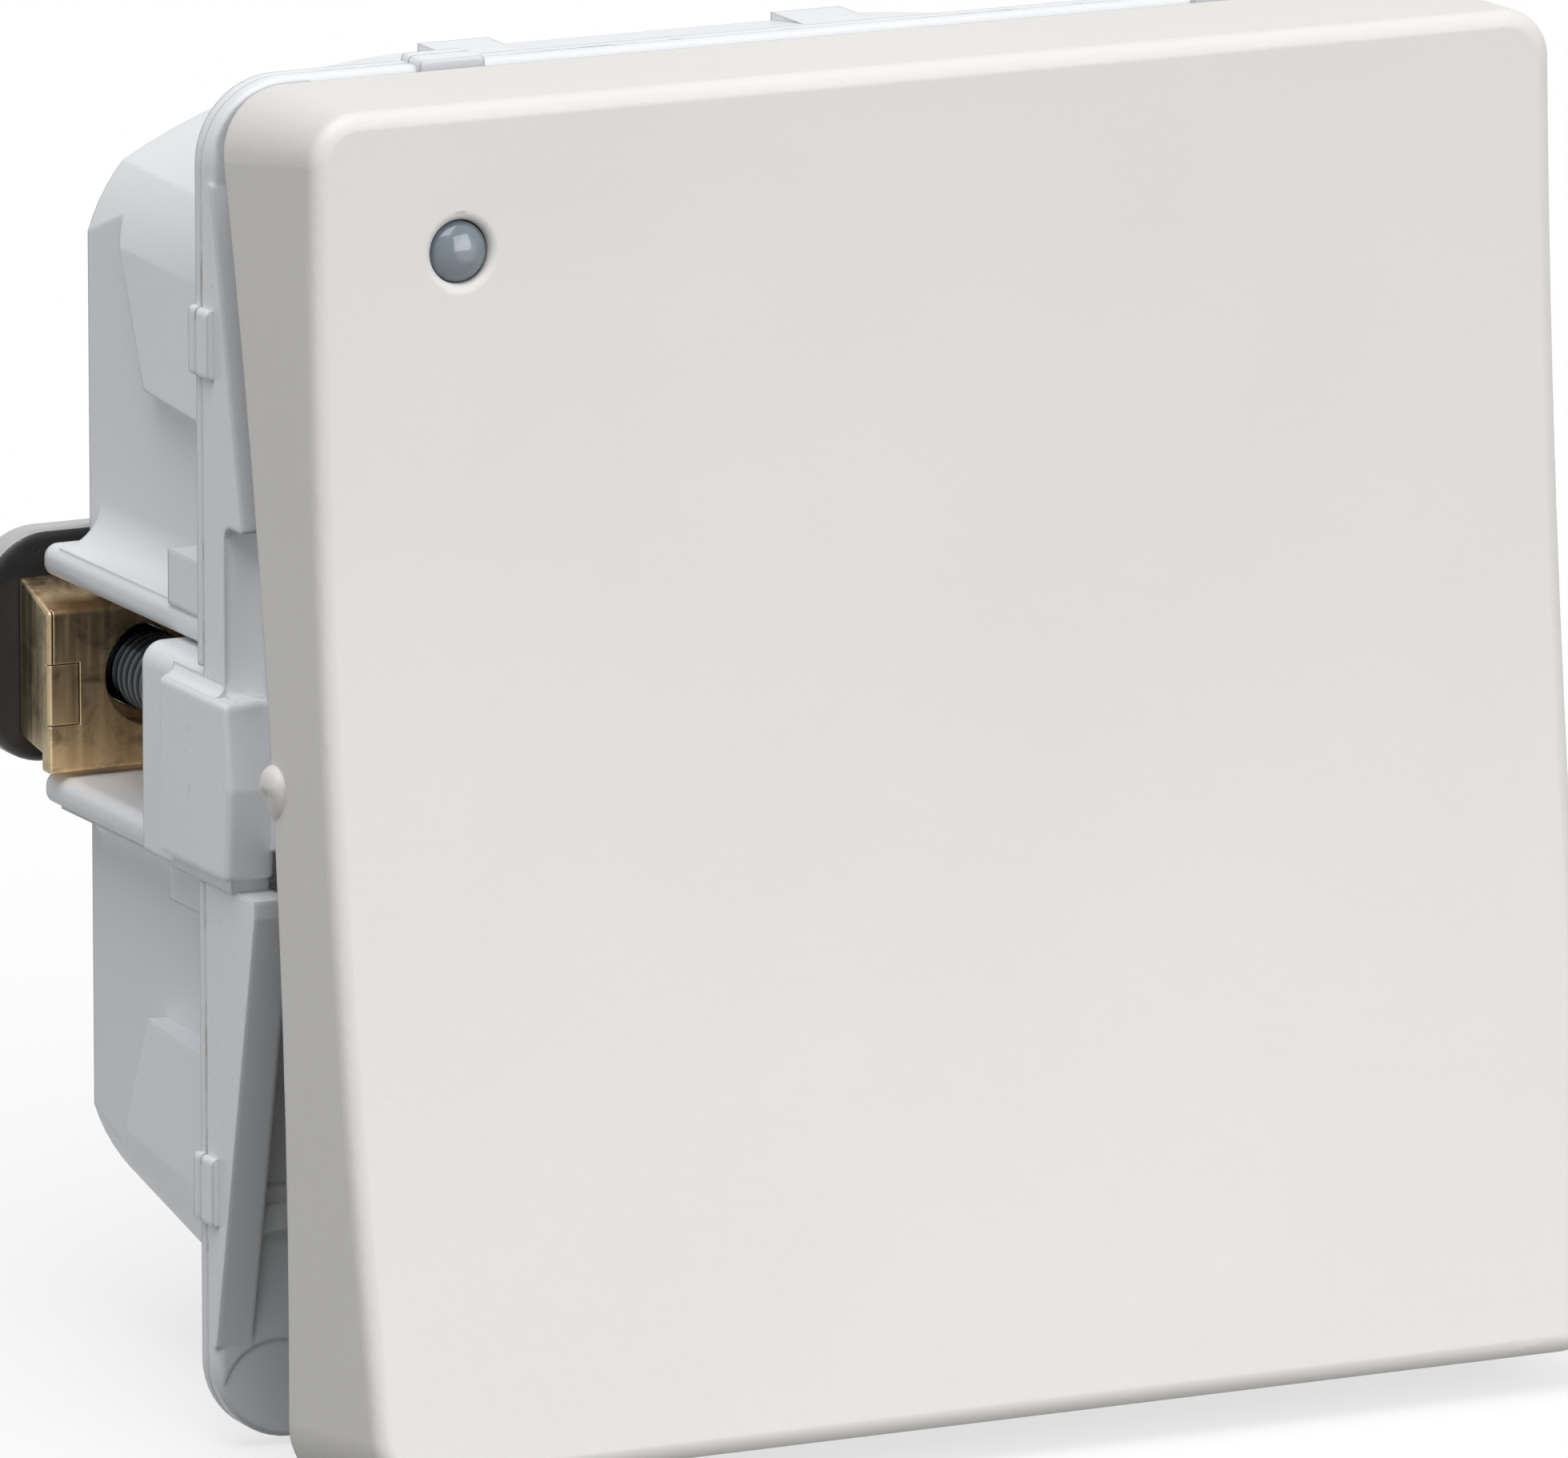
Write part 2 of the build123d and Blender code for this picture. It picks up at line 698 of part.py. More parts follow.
def divider():
    """Wall between the two upper terminals."""
    half = divider_thickness / 2
    wall = block(-half, half, deck_rear + divider_gap, housing_depth, divider_from, crown_top)
    return wall & housing_body(housing_wall / 2, 0, housing_depth - joined)


def crown_rib():
    return block(crown_rib_from, crown_rib_to, housing_depth - crown_rib_length, housing_depth,
                 crown_top + crown_rib_proud - crown_rib_height, crown_top + crown_rib_proud)


def entry_places():
    return (entry_near, entry_near + entry_pitch)


def entry_collars():
    collars = Part()
    for x in entry_places():
        collars += rod_y(entry_collar, housing_depth - entry_length, housing_depth - joined, x, entry_z)
    return collars


def entry_cuts():
    """Two conductor entries with flared mouths, and the release lever's slot between them."""
    slot_x = entry_near + entry_pitch / 2
    half_width = lever_width / 2 + lever_gap
    half_height = lever_height / 2 + lever_gap
    cuts = block(slot_x - half_width, slot_x + half_width, housing_depth - housing_wall - cut_over,
                 housing_depth + cut_over, lever_z - half_height, lever_z + half_height)
    for x in entry_places():
        cuts += rod_y(entry_radius, housing_depth - entry_length - cut_over, housing_depth + cut_over,
                      x, entry_z)
        mouth = Cone(entry_radius + entry_mouth, entry_radius, entry_mouth)
        cuts += Pos(x, housing_depth - entry_mouth / 2, entry_z) * Rot(90, 0, 0) * mouth
    return cuts


def rear_housing_shape():
    tub = housing_body(0, 0, housing_depth)
    tub -= both_sides(flat_pocket())
    inner_half = flat_half - housing_wall
    inside = housing_body(housing_wall, -joined, housing_depth - housing_wall)
    tub -= inside & block(-inner_half, inner_half, -cut_over, housing_depth, -flange_size, flange_size)
    lip = slab(RectangleRounded(flange_size, flange_size, flange_corner), -seam_ahead, 0)
    lip += edge_tabs(-seam_ahead, joined)
    lip = chamfer(lip.faces().sort_by(Axis.Y)[0].edges(), seam_groove)
    lip -= slab(Rectangle(2 * inner_half, 2 * (well_half_z + well_wall + well_gap)),
                -seam_ahead - cut_over, cut_over)
    lip -= rod_y(led_radius + led_gap, -seam_ahead - cut_over, cut_over, lens_x, lens_z)
    lip -= in_all_corners(hook_passage())
    tub += lip
    tub -= in_all_corners(hook_window())
    tub += claw_channel() + turned(claw_channel())
    tub -= channel_cut() + turned(channel_cut())
    tub += in_all_corners(crown_rib())
    tub += divider() + mirror(divider(), about=Plane.XY)
    tub += in_all_corners(entry_collars())
    tub -= in_all_corners(entry_cuts())
    return tub


# Claws, drawn on the left side
def claw_screw_shape():
    front = claw_head_seat - claw_head_height
    tip = nut_front + nut_depth + plate_thickness + claw_screw_past
    shank = rod_y(claw_screw_radius, claw_head_seat, tip, -claw_x)
    shank = chamfer(shank.edges().sort_by(Axis.Y)[-1:], claw_screw_chamfer)
    head = rod_y(claw_head_radius, front, claw_head_seat, -claw_x)
    head = fillet(head.edges().group_by(Axis.Y)[0], claw_screw_chamfer)
    slot = block(-claw_x - claw_head_radius, -claw_x + claw_head_radius, front - cut_over,
                 front + claw_slot_depth, -claw_slot_width / 2, claw_slot_width / 2)
    return head + shank - slot


def claw_nut_shape():
    outer = -claw_x - nut_reach
    rear = nut_front + nut_depth
    half = nut_height / 2
    folded = Polygon(
        (nut_front, -half), (nut_front + nut_lip, -half), (nut_front + nut_lip, nut_lip_height - half),
        (rear, nut_rear_rise - half), (rear, half), (nut_front, half - nut_front_drop), align=None)
    nut = side_slab(folded, outer, outer + nut_width)
    nut = fillet(nut.edges().filter_by(Axis.Z).group_by(Axis.X)[0].sort_by(Axis.Y)[:1], nut_edge_round)
    nut -= rod_y(nut_hole_radius, nut_front - cut_over, nut_front + nut_hole_depth, -claw_x)
    nut -= rod_y(claw_screw_radius + running_gap, nut_front, nut_front + nut_depth + cut_over, -claw_x)
    return nut


def claw_plate_shape():
    front = nut_front + nut_depth
    rear = front + plate_thickness
    plate = block(-claw_x - plate_reach, -claw_x + plate_tail, front, rear, -plate_bottom, plate_top)
    outer_corners = plate.edges().filter_by(Axis.Y).group_by(Axis.X)[0]
    plate = fillet(outer_corners, plate_corner)
    plate -= rod_y(claw_screw_radius + plate_hole_gap, front - cut_over, rear + cut_over, -claw_x)
    return plate


# Terminals, drawn in the upper right corner
def clamp_bar(inner):
    return block(inner, bar_end, bar_front, bar_rear, bar_z, bar_z + strip_thickness)


clamp_top_z = clamp_base_z + 2 * clamp_bend
clamp_tip_z = bar_z - clamp_tip_gap


def clamp_spring_shape():
    """A bent leaf: flat base, bend at the rear, two tongues that slope forward to the bar."""
    t = clamp_thickness
    bend = Pos(clamp_root_y, clamp_base_z + clamp_bend) * (Circle(clamp_bend) - Circle(clamp_bend - t))
    bend -= Pos(clamp_root_y - clamp_bend, clamp_base_z + clamp_bend) * Rectangle(
        2 * clamp_bend, 2 * clamp_bend + cut_over)
    tongue = Polygon((clamp_root_y, clamp_top_z - t), (clamp_root_y, clamp_top_z), (clamp_tip_y, clamp_tip_z),
                     (clamp_tip_y - clamp_tip_width, clamp_tip_z - clamp_tip_width), align=None)
    base = Pos((clamp_front + clamp_root_y) / 2, clamp_base_z + t / 2) * Rectangle(
        clamp_root_y - clamp_front, t)
    left = entry_near - tongue_width / 2
    spring = side_slab(bend + tongue + base, left, bar_end)
    gap = block(left + tongue_width, bar_end - tongue_width, clamp_tip_y - cut_over,
                clamp_root_y - clamp_web, clamp_top_z - t, bar_z + cut_over)
    return spring - gap


def nose_tip():
    """Depth at which the lever's nose meets the sloping tongues."""
    slope = (clamp_tip_z - clamp_top_z) / (clamp_root_y - clamp_tip_y)
    return clamp_root_y - (lever_nose_z - lever_nose_height / 2 - clamp_top_z) / slope + lever_nose_gap


def release_lever_shape():
    x = entry_near + entry_pitch / 2
    half = lever_width / 2
    bottom = lever_z - lever_height / 2
    top = lever_z + lever_height / 2
    collar_rear = housing_depth - housing_wall - lever_gap
    collar_front = collar_rear - lever_collar_length
    button = block(x - half, x + half, collar_front, housing_depth + lever_proud, bottom, top)
    button = fillet(button.faces().sort_by(Axis.Y)[-1].edges(), lever_round)
    collar = block(x - half - lever_collar, x + half + lever_collar, collar_front, collar_rear,
                   bottom - lever_collar, top)
    nose_half = lever_nose_width / 2
    nose = block(x - nose_half, x + nose_half, nose_tip(), collar_rear,
                 lever_nose_z - lever_nose_height / 2, lever_nose_z + lever_nose_height / 2)
    return button + collar + nose


# Contacts
tip_dome_radius = (tip_radius ** 2 + tip_dome ** 2) / (2 * tip_dome)


def lever_reach():
    """How far behind its axis a moving tip's dome reaches when the contact is closed."""
    centre = contact_plate_rear + tip_height - tip_dome_radius
    swing = radians(contact_swing)
    return centre * cos(swing) + contact_at * sin(swing) + tip_dome_radius


tab_rear = housing_depth - housing_wall - tab_wall_gap
tab_front = tab_rear - strip_thickness
lever_axis = tab_front - fixed_tip_height - tip_gap - lever_reach()


def traveller_strip_shape(level):
    """Clamp bar, leg and the tab that carries a fixed contact, for the upper (1) or lower (-1) way."""
    inner = leg_gap
    outer = inner + strip_thickness
    strip = in_corner(clamp_bar(inner), 1, level)
    foot = mid_rise + level * (contact_arm + arm_clearance)
    top = level * (bar_z + strip_thickness)
    strip += block(inner, outer, bar_rear - leg_lap, tab_rear, min(foot, top), max(foot, top))
    tab_end = mid_rise + level * (contact_at - tab_half)
    strip += block(-tab_half, outer, tab_front, tab_rear, min(foot, tab_end), max(foot, tab_end))
    return strip


def common_strip_shape():
    """Clamp bar, leg and the forked post in which the contact lever rocks."""
    inner = contact_width / 2 + common_leg_gap
    outer = inner + strip_thickness
    bar = in_corner(clamp_bar(inner), -1, -1)
    post_front = lever_axis + common_post_behind
    post_rear = post_front + strip_thickness
    top = mid_rise + common_post_half
    leg = block(-outer, -inner, bar_rear - common_leg_lap, post_rear, -bar_z - strip_thickness, top)
    post = block(-outer, outer, post_front, post_rear, mid_rise - common_post_half, top)
    prong = block(inner, outer, lever_axis - prong_ahead, post_rear,
                  mid_rise - prong_half, mid_rise + prong_half)
    hole = rod_x(contact_pin_radius + running_gap, -outer - cut_over, outer + cut_over, lever_axis, mid_rise)
    return bar + leg + post + prong - hole


def contact_lever_frame():
    half = contact_width / 2
    arm = block(-half, half, -contact_plate_front, contact_plate_rear, -contact_arm, contact_arm)
    arm = fillet(arm.edges().filter_by(Axis.Y), contact_round)
    shoulder = block(-contact_shoulder_x, contact_shoulder_x, -contact_stem, 0,
                     -contact_shoulder_z, contact_shoulder_z)
    stem = rod_y(contact_stem_radius, -contact_stem - contact_stem_length, -contact_stem + joined)
    pin_reach = half + common_leg_gap + strip_thickness - contact_pin_inset
    pins = rod_x(contact_pin_radius, -pin_reach, pin_reach)
    return arm + shoulder + stem + pins


def tip_shape(height):
    body = rod_y(tip_radius, 0, height)
    return body & (Pos(0, height - tip_dome_radius, 0) * Sphere(tip_dome_radius))


def closed(part):
    """From the contact lever's own frame to rest, with the lower contact made."""
    return Pos(0, lever_axis, mid_rise) * Rot(contact_swing, 0, 0) * part


def moving_tips():
    tips = [Pos(0, contact_plate_rear, z) * tip_shape(tip_height) for z in (-contact_at, contact_at)]
    return Compound(children=[closed(tip) for tip in tips])


def fixed_tips():
    tips = []
    for level in (-1, 1):
        tips.append(rod_y(tip_radius, tab_front - fixed_tip_height, tab_front, 0,
                          mid_rise + level * contact_at))
    return Compound(children=tips)


# Toggle, drawn about its axis
def toggle_frame():
    half = toggle_width / 2
    neck = block(-half, half, -toggle_nose_at, 0, -toggle_neck_half, toggle_neck_half)
    nose = rod_x(toggle_nose_radius, -half, half, -toggle_nose_at, 0)
    hub = rod_x(toggle_hub_radius, -half, half)
    seat = block(-half, half, 0, toggle_seat, -toggle_seat_half, toggle_seat_half)
    spigot = rod_y(contact_stem_radius, toggle_seat - joined, toggle_seat + toggle_spigot)
    reach = lug_inner + lug_thickness
    pins = rod_x(toggle_pin_radius, -reach, reach)
    return neck + nose + hub + seat + spigot + pins


def toggle_shape():
    return Pos(0, toggle_axis, mid_rise) * Rot(toggle_swing, 0, 0) * toggle_frame()


def snap_spring_shape():
    """The coil between the toggle's seat and the contact lever's shoulder, at rest."""
    tail = radians(toggle_swing)
    stem = radians(contact_swing)
    y0 = toggle_axis + toggle_seat * cos(tail)
    z0 = mid_rise + toggle_seat * sin(tail)
    y1 = lever_axis - contact_stem * cos(stem)
    z1 = mid_rise - contact_stem * sin(stem)
    length = sqrt((y1 - y0) ** 2 + (z1 - z0) ** 2)
    lean = asin((z1 - z0) / length)
    steepest = max(abs(tail - lean), abs(stem + lean))
    margin = spring_wire + spring_end_gap + spring_radius * sin(steepest)
    usable = length - 2 * margin
    helix = Helix(pitch=usable / spring_turns, height=usable, radius=spring_radius)
    section = Plane(origin=helix @ 0, z_dir=helix % 0) * RegularPolygon(spring_wire, spring_wire_sides)
    coil = Pos(0, 0, margin) * sweep(section, path=helix, is_frenet=True)
    return Pos(0, y0, z0) * Rot(degrees(lean) - 90, 0, 0) * coil


# Indicator
def led_shape():
    dome_depth = -led_tip_ahead + led_radius
    body = rod_y(led_radius, dome_depth, board_depth, lens_x, lens_z)
    return body + Pos(lens_x, dome_depth, lens_z) * Sphere(led_radius)


def board_shape():
    top = lens_z + board_margin
    board = block(board_left, board_right, board_depth, board_depth + board_thickness,
                  top - board_height, top)
    corner = board.edges().filter_by(Axis.Y).group_by(Axis.X)[0].sort_by(Axis.Z)[-1:]
    return chamfer(corner, board_corner)


def resistor_shape():
    rear = board_depth + board_thickness
    x = -bar_end - resistor_gap - resistor_radius
    return rod_y(resistor_radius, rear, rear + resistor_length, x, lens_z - resistor_drop)


def link_shape():
    """The formed wire from the board down to the common strip."""
    depth = bar_front - link_radius - link_gap
    x = board_right + link_reach
    route = FilletPolyline(
        (board_right - link_inset, depth + link_rise, lens_z - link_drop),
        (x, depth, lens_z - link_drop - link_slope),
        (x, depth, -bar_z - strip_thickness / 2), radius=link_bend)
    return sweep(Plane(origin=route @ 0, z_dir=route % 0) * Circle(link_radius), path=route)


nodes = {
    "rocker": tipped(rocker_shape()),
    "indicator_lens": tipped(lens_shape()),
    "base_frame": base_frame_shape(),
    "rear_housing": rear_housing_shape(),
    "toggle": toggle_shape(),
    "snap_spring": snap_spring_shape(),
    "contact_lever": closed(contact_lever_frame()),
    "moving_contact_tips": moving_tips(),
    "fixed_contact_tips": fixed_tips(),
    "common_strip": common_strip_shape(),
    "traveller_strip_upper": traveller_strip_shape(1),
    "traveller_strip_lower": traveller_strip_shape(-1),
    "neutral_strip": in_corner(clamp_bar(neutral_inner), -1, 1),
    "indicator_led": led_shape(),
    "indicator_board": board_shape(),
    "indicator_resistor": resistor_shape(),
    "indicator_link": link_shape(),
    "claw_screw_left": claw_screw_shape(),
    "claw_screw_right": turned(claw_screw_shape()),
    "claw_nut_left": claw_nut_shape(),
    "claw_nut_right": turned(claw_nut_shape()),
    "claw_plate_left": claw_plate_shape(),
    "claw_plate_right": turned(claw_plate_shape()),
}
corners = {"common": (-1, -1), "neutral": (-1, 1), "traveller_upper": (1, 1), "traveller_lower": (1, -1)}
for name, (side, level) in corners.items():
    nodes["clamp_spring_" + name] = in_corner(clamp_spring_shape(), side, level)
    nodes["release_lever_" + name] = in_corner(release_lever_shape(), side, level)

os.makedirs("parts", exist_ok=True)
for name, shape in nodes.items():
    export_step(shape, "parts/" + name + ".step")
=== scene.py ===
from math import ceil, cos, pi, radians, sin

import bmesh
import bpy
from mathutils import Matrix, Vector
from mathutils.bvhtree import BVHTree
from mathutils.interpolate import poly_3d_calc


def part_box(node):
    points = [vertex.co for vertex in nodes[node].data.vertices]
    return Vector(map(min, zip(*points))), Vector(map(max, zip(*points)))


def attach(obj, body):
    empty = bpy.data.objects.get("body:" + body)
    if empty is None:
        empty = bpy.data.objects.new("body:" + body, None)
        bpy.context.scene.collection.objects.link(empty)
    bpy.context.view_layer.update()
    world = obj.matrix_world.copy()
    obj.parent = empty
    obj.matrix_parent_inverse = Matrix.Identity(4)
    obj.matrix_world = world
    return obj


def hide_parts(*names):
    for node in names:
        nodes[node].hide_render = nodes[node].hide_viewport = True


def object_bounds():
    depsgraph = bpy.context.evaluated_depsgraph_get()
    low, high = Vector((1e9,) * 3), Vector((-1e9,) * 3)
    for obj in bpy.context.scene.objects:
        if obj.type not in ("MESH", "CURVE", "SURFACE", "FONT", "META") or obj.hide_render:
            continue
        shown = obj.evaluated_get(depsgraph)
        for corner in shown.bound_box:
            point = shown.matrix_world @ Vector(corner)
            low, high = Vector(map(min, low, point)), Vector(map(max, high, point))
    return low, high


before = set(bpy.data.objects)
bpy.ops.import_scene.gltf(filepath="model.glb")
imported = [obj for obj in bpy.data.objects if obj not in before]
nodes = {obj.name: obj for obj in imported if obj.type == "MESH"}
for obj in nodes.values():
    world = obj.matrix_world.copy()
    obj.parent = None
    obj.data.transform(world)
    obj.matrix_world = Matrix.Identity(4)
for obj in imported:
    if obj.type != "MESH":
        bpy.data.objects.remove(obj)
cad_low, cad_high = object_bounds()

mm = 0.001

# Studio
# The switch stands on its lower edge on a plain pale floor, in front of nothing.
# One large soft lamp hangs above it, the strongest stands in front at the right, and a faint one behind
# at the left.
camera_azimuth = radians(26.059)
camera_elevation = radians(12.441)
camera_distance = 717.741 * mm
camera_aim = Vector((-1.582, 0, -0.967)) * mm
camera_lens = 459.96
camera_sensor = 36
camera_start = 0.05
lamps = {                 # place, size and power
    "lamp_above": ((-0.18, -0.20, 0.60), 0.55, 3.1),
    "lamp_front": ((0.30, -0.75, 0.20), 0.60, 3.75),
    "lamp_left": ((-0.75, 0.25, 0.18), 0.50, 0.05),
}
surroundings = 0.345
surroundings_tone = (0.97, 0.985, 1.0)
white = (1.0, 1.0, 1.0)
floor_half = 3.0
floor_paleness = 0.22     # as the switch is lit by it
floor_seen = 0.95         # as the camera sees it
shadow_strength = 0.3     # how much of the floor's own light shows, close to the switch
shadow_from = 0.035
shadow_to = 0.11          # from here outwards the floor is plain white


def aim(thing, where, target, up):
    """A camera or a lamp set down and turned to face a target."""
    thing.location = where
    thing.rotation_mode = "QUATERNION"
    thing.rotation_quaternion = (target - where).to_track_quat("-Z", up)
    bpy.context.scene.collection.objects.link(thing)


camera_data = bpy.data.cameras.new("camera")
camera_data.sensor_width = camera_sensor
camera_data.lens = camera_lens
camera_data.clip_start = camera_start
camera = bpy.data.objects.new("camera", camera_data)
toward_camera = Vector((
    -sin(camera_azimuth) * cos(camera_elevation),
    -cos(camera_azimuth) * cos(camera_elevation),
    sin(camera_elevation)))
aim(camera, camera_aim + camera_distance * toward_camera, camera_aim, "Y")
bpy.context.scene.camera = camera
bpy.context.scene.view_settings.view_transform = "Standard"
for name, (where, size, power) in lamps.items():
    data = bpy.data.lights.new(name, "AREA")
    data.size = size
    data.energy = power
    aim(bpy.data.objects.new(name, data), Vector(where), Vector(), "Y")


def new_material(name):
    """An empty node material and its output node."""
    made = bpy.data.materials.new(name)
    made.use_nodes = True
    made.node_tree.nodes.clear()
    return made, made.node_tree, made.node_tree.nodes.new("ShaderNodeOutputMaterial")


def place(tree, kind, inputs=None, **settings):
    """A node with its settings and its unlinked inputs filled in."""
    node = tree.nodes.new(kind)
    for key, value in settings.items():
        setattr(node, key, value)
    for key, value in (inputs or {}).items():
        node.inputs[key].default_value = value
    return node


def on_piece(tree, kind, inputs=None, **settings):
    """A node that reads the place on the piece, in the piece's own coordinates."""
    node = place(tree, kind, inputs, **settings)
    tree.links.new(place(tree, "ShaderNodeTexCoord").outputs["Object"], node.inputs[0])
    return node


def calculate(tree, operation, *terms):
    """A math node; each input is a number or a socket. The output is a socket."""
    node = place(tree, "ShaderNodeMath", operation=operation)
    for index, value in enumerate(terms):
        if isinstance(value, (int, float)):
            node.inputs[index].default_value = value
        else:
            tree.links.new(value, node.inputs[index])
    return node.outputs[0]


def spread(tree, value, low, high, to_low=0.0, to_high=1.0):
    """A value brought from one range to another, held inside it."""
    node = place(tree, "ShaderNodeMapRange", {1: low, 2: high, 3: to_low, 4: to_high})
    tree.links.new(value, node.inputs[0])
    return node.outputs[0]


def blend_colours(tree, share, first, second):
    """Two colours mixed by a socket's value; a colour is three numbers or a socket."""
    node = place(tree, "ShaderNodeMix", data_type="RGBA")
    tree.links.new(share, node.inputs[0])
    for index, colour in ((6, first), (7, second)):
        if isinstance(colour, tuple):
            node.inputs[index].default_value = (*colour, 1)
        else:
            tree.links.new(colour, node.inputs[index])
    return node.outputs[2]


def blend_shaders(tree, share, first, second, end):
    """Two shaders mixed by a value and joined to the output."""
    node = place(tree, "ShaderNodeMixShader")
    for index, socket in enumerate((share, first.outputs[0], second.outputs[0])):
        tree.links.new(socket, node.inputs[index])
    tree.links.new(node.outputs[0], end.inputs["Surface"])


def seen_or_mirrored(tree):
    """1 for what the camera sees directly, or in a reflection or through glass."""
    path = place(tree, "ShaderNodeLightPath")
    direct = calculate(tree, "MAXIMUM", path.outputs["Is Camera Ray"], path.outputs["Is Glossy Ray"])
    return calculate(tree, "MAXIMUM", direct, path.outputs["Is Transmission Ray"])


world = bpy.data.worlds.new("surroundings")
bpy.context.scene.world = world
world.use_nodes = True
air = world.node_tree
air.nodes.clear()
blend_shaders(
    air, seen_or_mirrored(air),
    place(air, "ShaderNodeBackground", {"Color": (*surroundings_tone, 1), "Strength": surroundings}),
    place(air, "ShaderNodeBackground", {"Color": (*white, 1), "Strength": 1}),
    place(air, "ShaderNodeOutputWorld"))

floor_mesh = bpy.data.meshes.new("floor")
floor_mesh.from_pydata(
    [(x * floor_half, y * floor_half, cad_low.z) for x, y in ((-1, -1), (1, -1), (1, 1), (-1, 1))],
    [], [(0, 1, 2, 3)])
floor = bpy.data.objects.new("floor", floor_mesh)
bpy.context.scene.collection.objects.link(floor)
floor_material, paint, floor_end = new_material("pale_floor")
floor_colour = blend_colours(paint, seen_or_mirrored(paint), (floor_paleness,) * 3, (floor_seen,) * 3)
matt = place(paint, "ShaderNodeBsdfDiffuse")
paint.links.new(floor_colour, matt.inputs["Color"])
far = on_piece(paint, "ShaderNodeVectorMath", operation="LENGTH").outputs["Value"]
fade = spread(paint, far, shadow_from, shadow_to, 1 - shadow_strength, 1.0)
blend_shaders(paint, calculate(paint, "MULTIPLY", seen_or_mirrored(paint), fade), matt,
              place(paint, "ShaderNodeEmission", {"Strength": 1}), floor_end)
floor_mesh.materials.append(floor_material)

# Rear housing
# The tub behind the flange, injection moulded in a cool white engineering plastic with a fine satin skin.
# It clips to the front frame, and brown dust gathers here and there in the seam.
plastic_index = 1.5
noise_low = 0.3           # a noise's values lie mostly between these two,
noise_high = 0.7
tone_low = 0.35           # and between these it goes from one tone to the other
tone_high = 0.65
satin_swing = 0.05        # how far a moulded skin's roughness swings
bump_depth = 0.01 * mm    # of a grain or a streak at full strength
rounding_samples = 6
seam_plane = -0.5 * mm
seam_core = 0.06 * mm     # half the width that is dusty all over
seam_fade = 0.13 * mm
seam_cover = 0.7
patch_from = 0.52
patch_full = 0.68
seam_brown = (0.16, 0.11, 0.07)


def shader_group(name, inputs, outputs):
    """An empty shader node group with named value inputs and outputs."""
    group = bpy.data.node_groups.new(name, "ShaderNodeTree")
    for label, default in inputs.items():
        socket = group.interface.new_socket(label, in_out="INPUT", socket_type="NodeSocketFloat")
        socket.default_value = default
    for label, kind in outputs.items():
        group.interface.new_socket(label, in_out="OUTPUT", socket_type=kind)
    return group, group.nodes.new("NodeGroupInput"), group.nodes.new("NodeGroupOutput")


def rounded_bump(group, start, depth_label, height):
    """The normal with every edge rounded, and the same with a fine relief on it."""
    rounding = place(group, "ShaderNodeBevel", samples=rounding_samples)
    group.links.new(start.outputs["Edge Radius"], rounding.inputs["Radius"])
    bump = place(group, "ShaderNodeBump", {"Distance": bump_depth})
    group.links.new(start.outputs[depth_label], bump.inputs["Strength"])
    group.links.new(height, bump.inputs["Height"])
    group.links.new(rounding.outputs[0], bump.inputs["Normal"])
    return rounding.outputs[0], bump.outputs[0]


def give_out(group, end, **sockets):
    """The sockets joined to the group's outputs of the same names."""
    for label, socket in sockets.items():
        group.links.new(socket, end.inputs[label])
    return group


def make_moulded_skin():
    """Spark-eroded grain, slow tone drift and the rounding that every moulded edge has."""
    group, start, end = shader_group(
        "moulded_skin",
        {"Grain Scale": 3600, "Drift Scale": 60, "Edge Radius": 0.15 * mm, "Grain Depth": 0.5},
        {"Grain": "NodeSocketFloat", "Drift": "NodeSocketFloat", "Normal": "NodeSocketVector"})
    grain = on_piece(group, "ShaderNodeTexNoise", {"Detail": 2.0, "Roughness": 0.6})
    drift = on_piece(group, "ShaderNodeTexNoise", {"Detail": 3.0, "Roughness": 0.55})
    group.links.new(start.outputs["Grain Scale"], grain.inputs["Scale"])
    group.links.new(start.outputs["Drift Scale"], drift.inputs["Scale"])
    _, normal = rounded_bump(group, start, "Grain Depth", grain.outputs["Fac"])
    return give_out(group, end, Grain=grain.outputs["Fac"], Drift=drift.outputs["Fac"], Normal=normal)


moulded_skin = make_moulded_skin()


def use_group(tree, group, **values):
    """A shader group placed in a material, with its own values."""
    node = place(tree, "ShaderNodeGroup", node_tree=group)
    for label, value in values.items():
        node.inputs[label.replace("_", " ")].default_value = value
    return node


def principled(tree, end, **constants):
    """The main shader, joined to the output; constants are named by their sockets."""
    shader = place(tree, "ShaderNodeBsdfPrincipled")
    for label, value in constants.items():
        shader.inputs[label.replace("_", " ")].default_value = value
    tree.links.new(shader.outputs[0], end.inputs["Surface"])
    return shader


def uneven(tree, noise, low, high):
    """A roughness that swings between two values with a noise."""
    return spread(tree, noise, noise_low, noise_high, low, high)


def two_tones(tree, noise, first, second):
    """A tone that goes from one colour to another with a noise."""
    return blend_colours(tree, spread(tree, noise, tone_low, tone_high), first, second)


def lay_over(tree, tone, colour, mask, strength):
    """A colour laid over a tone where a mask says, at a strength, which is a number or a mask too."""
    return blend_colours(tree, calculate(tree, "MULTIPLY", mask, strength), tone, colour)


def dress(tree, shader, tone, roughness, normal=None):
    """A tone, a roughness and a normal joined to the main shader."""
    for label, socket in (("Base Color", tone), ("Roughness", roughness), ("Normal", normal)):
        if socket is not None:
            tree.links.new(socket, shader.inputs[label])


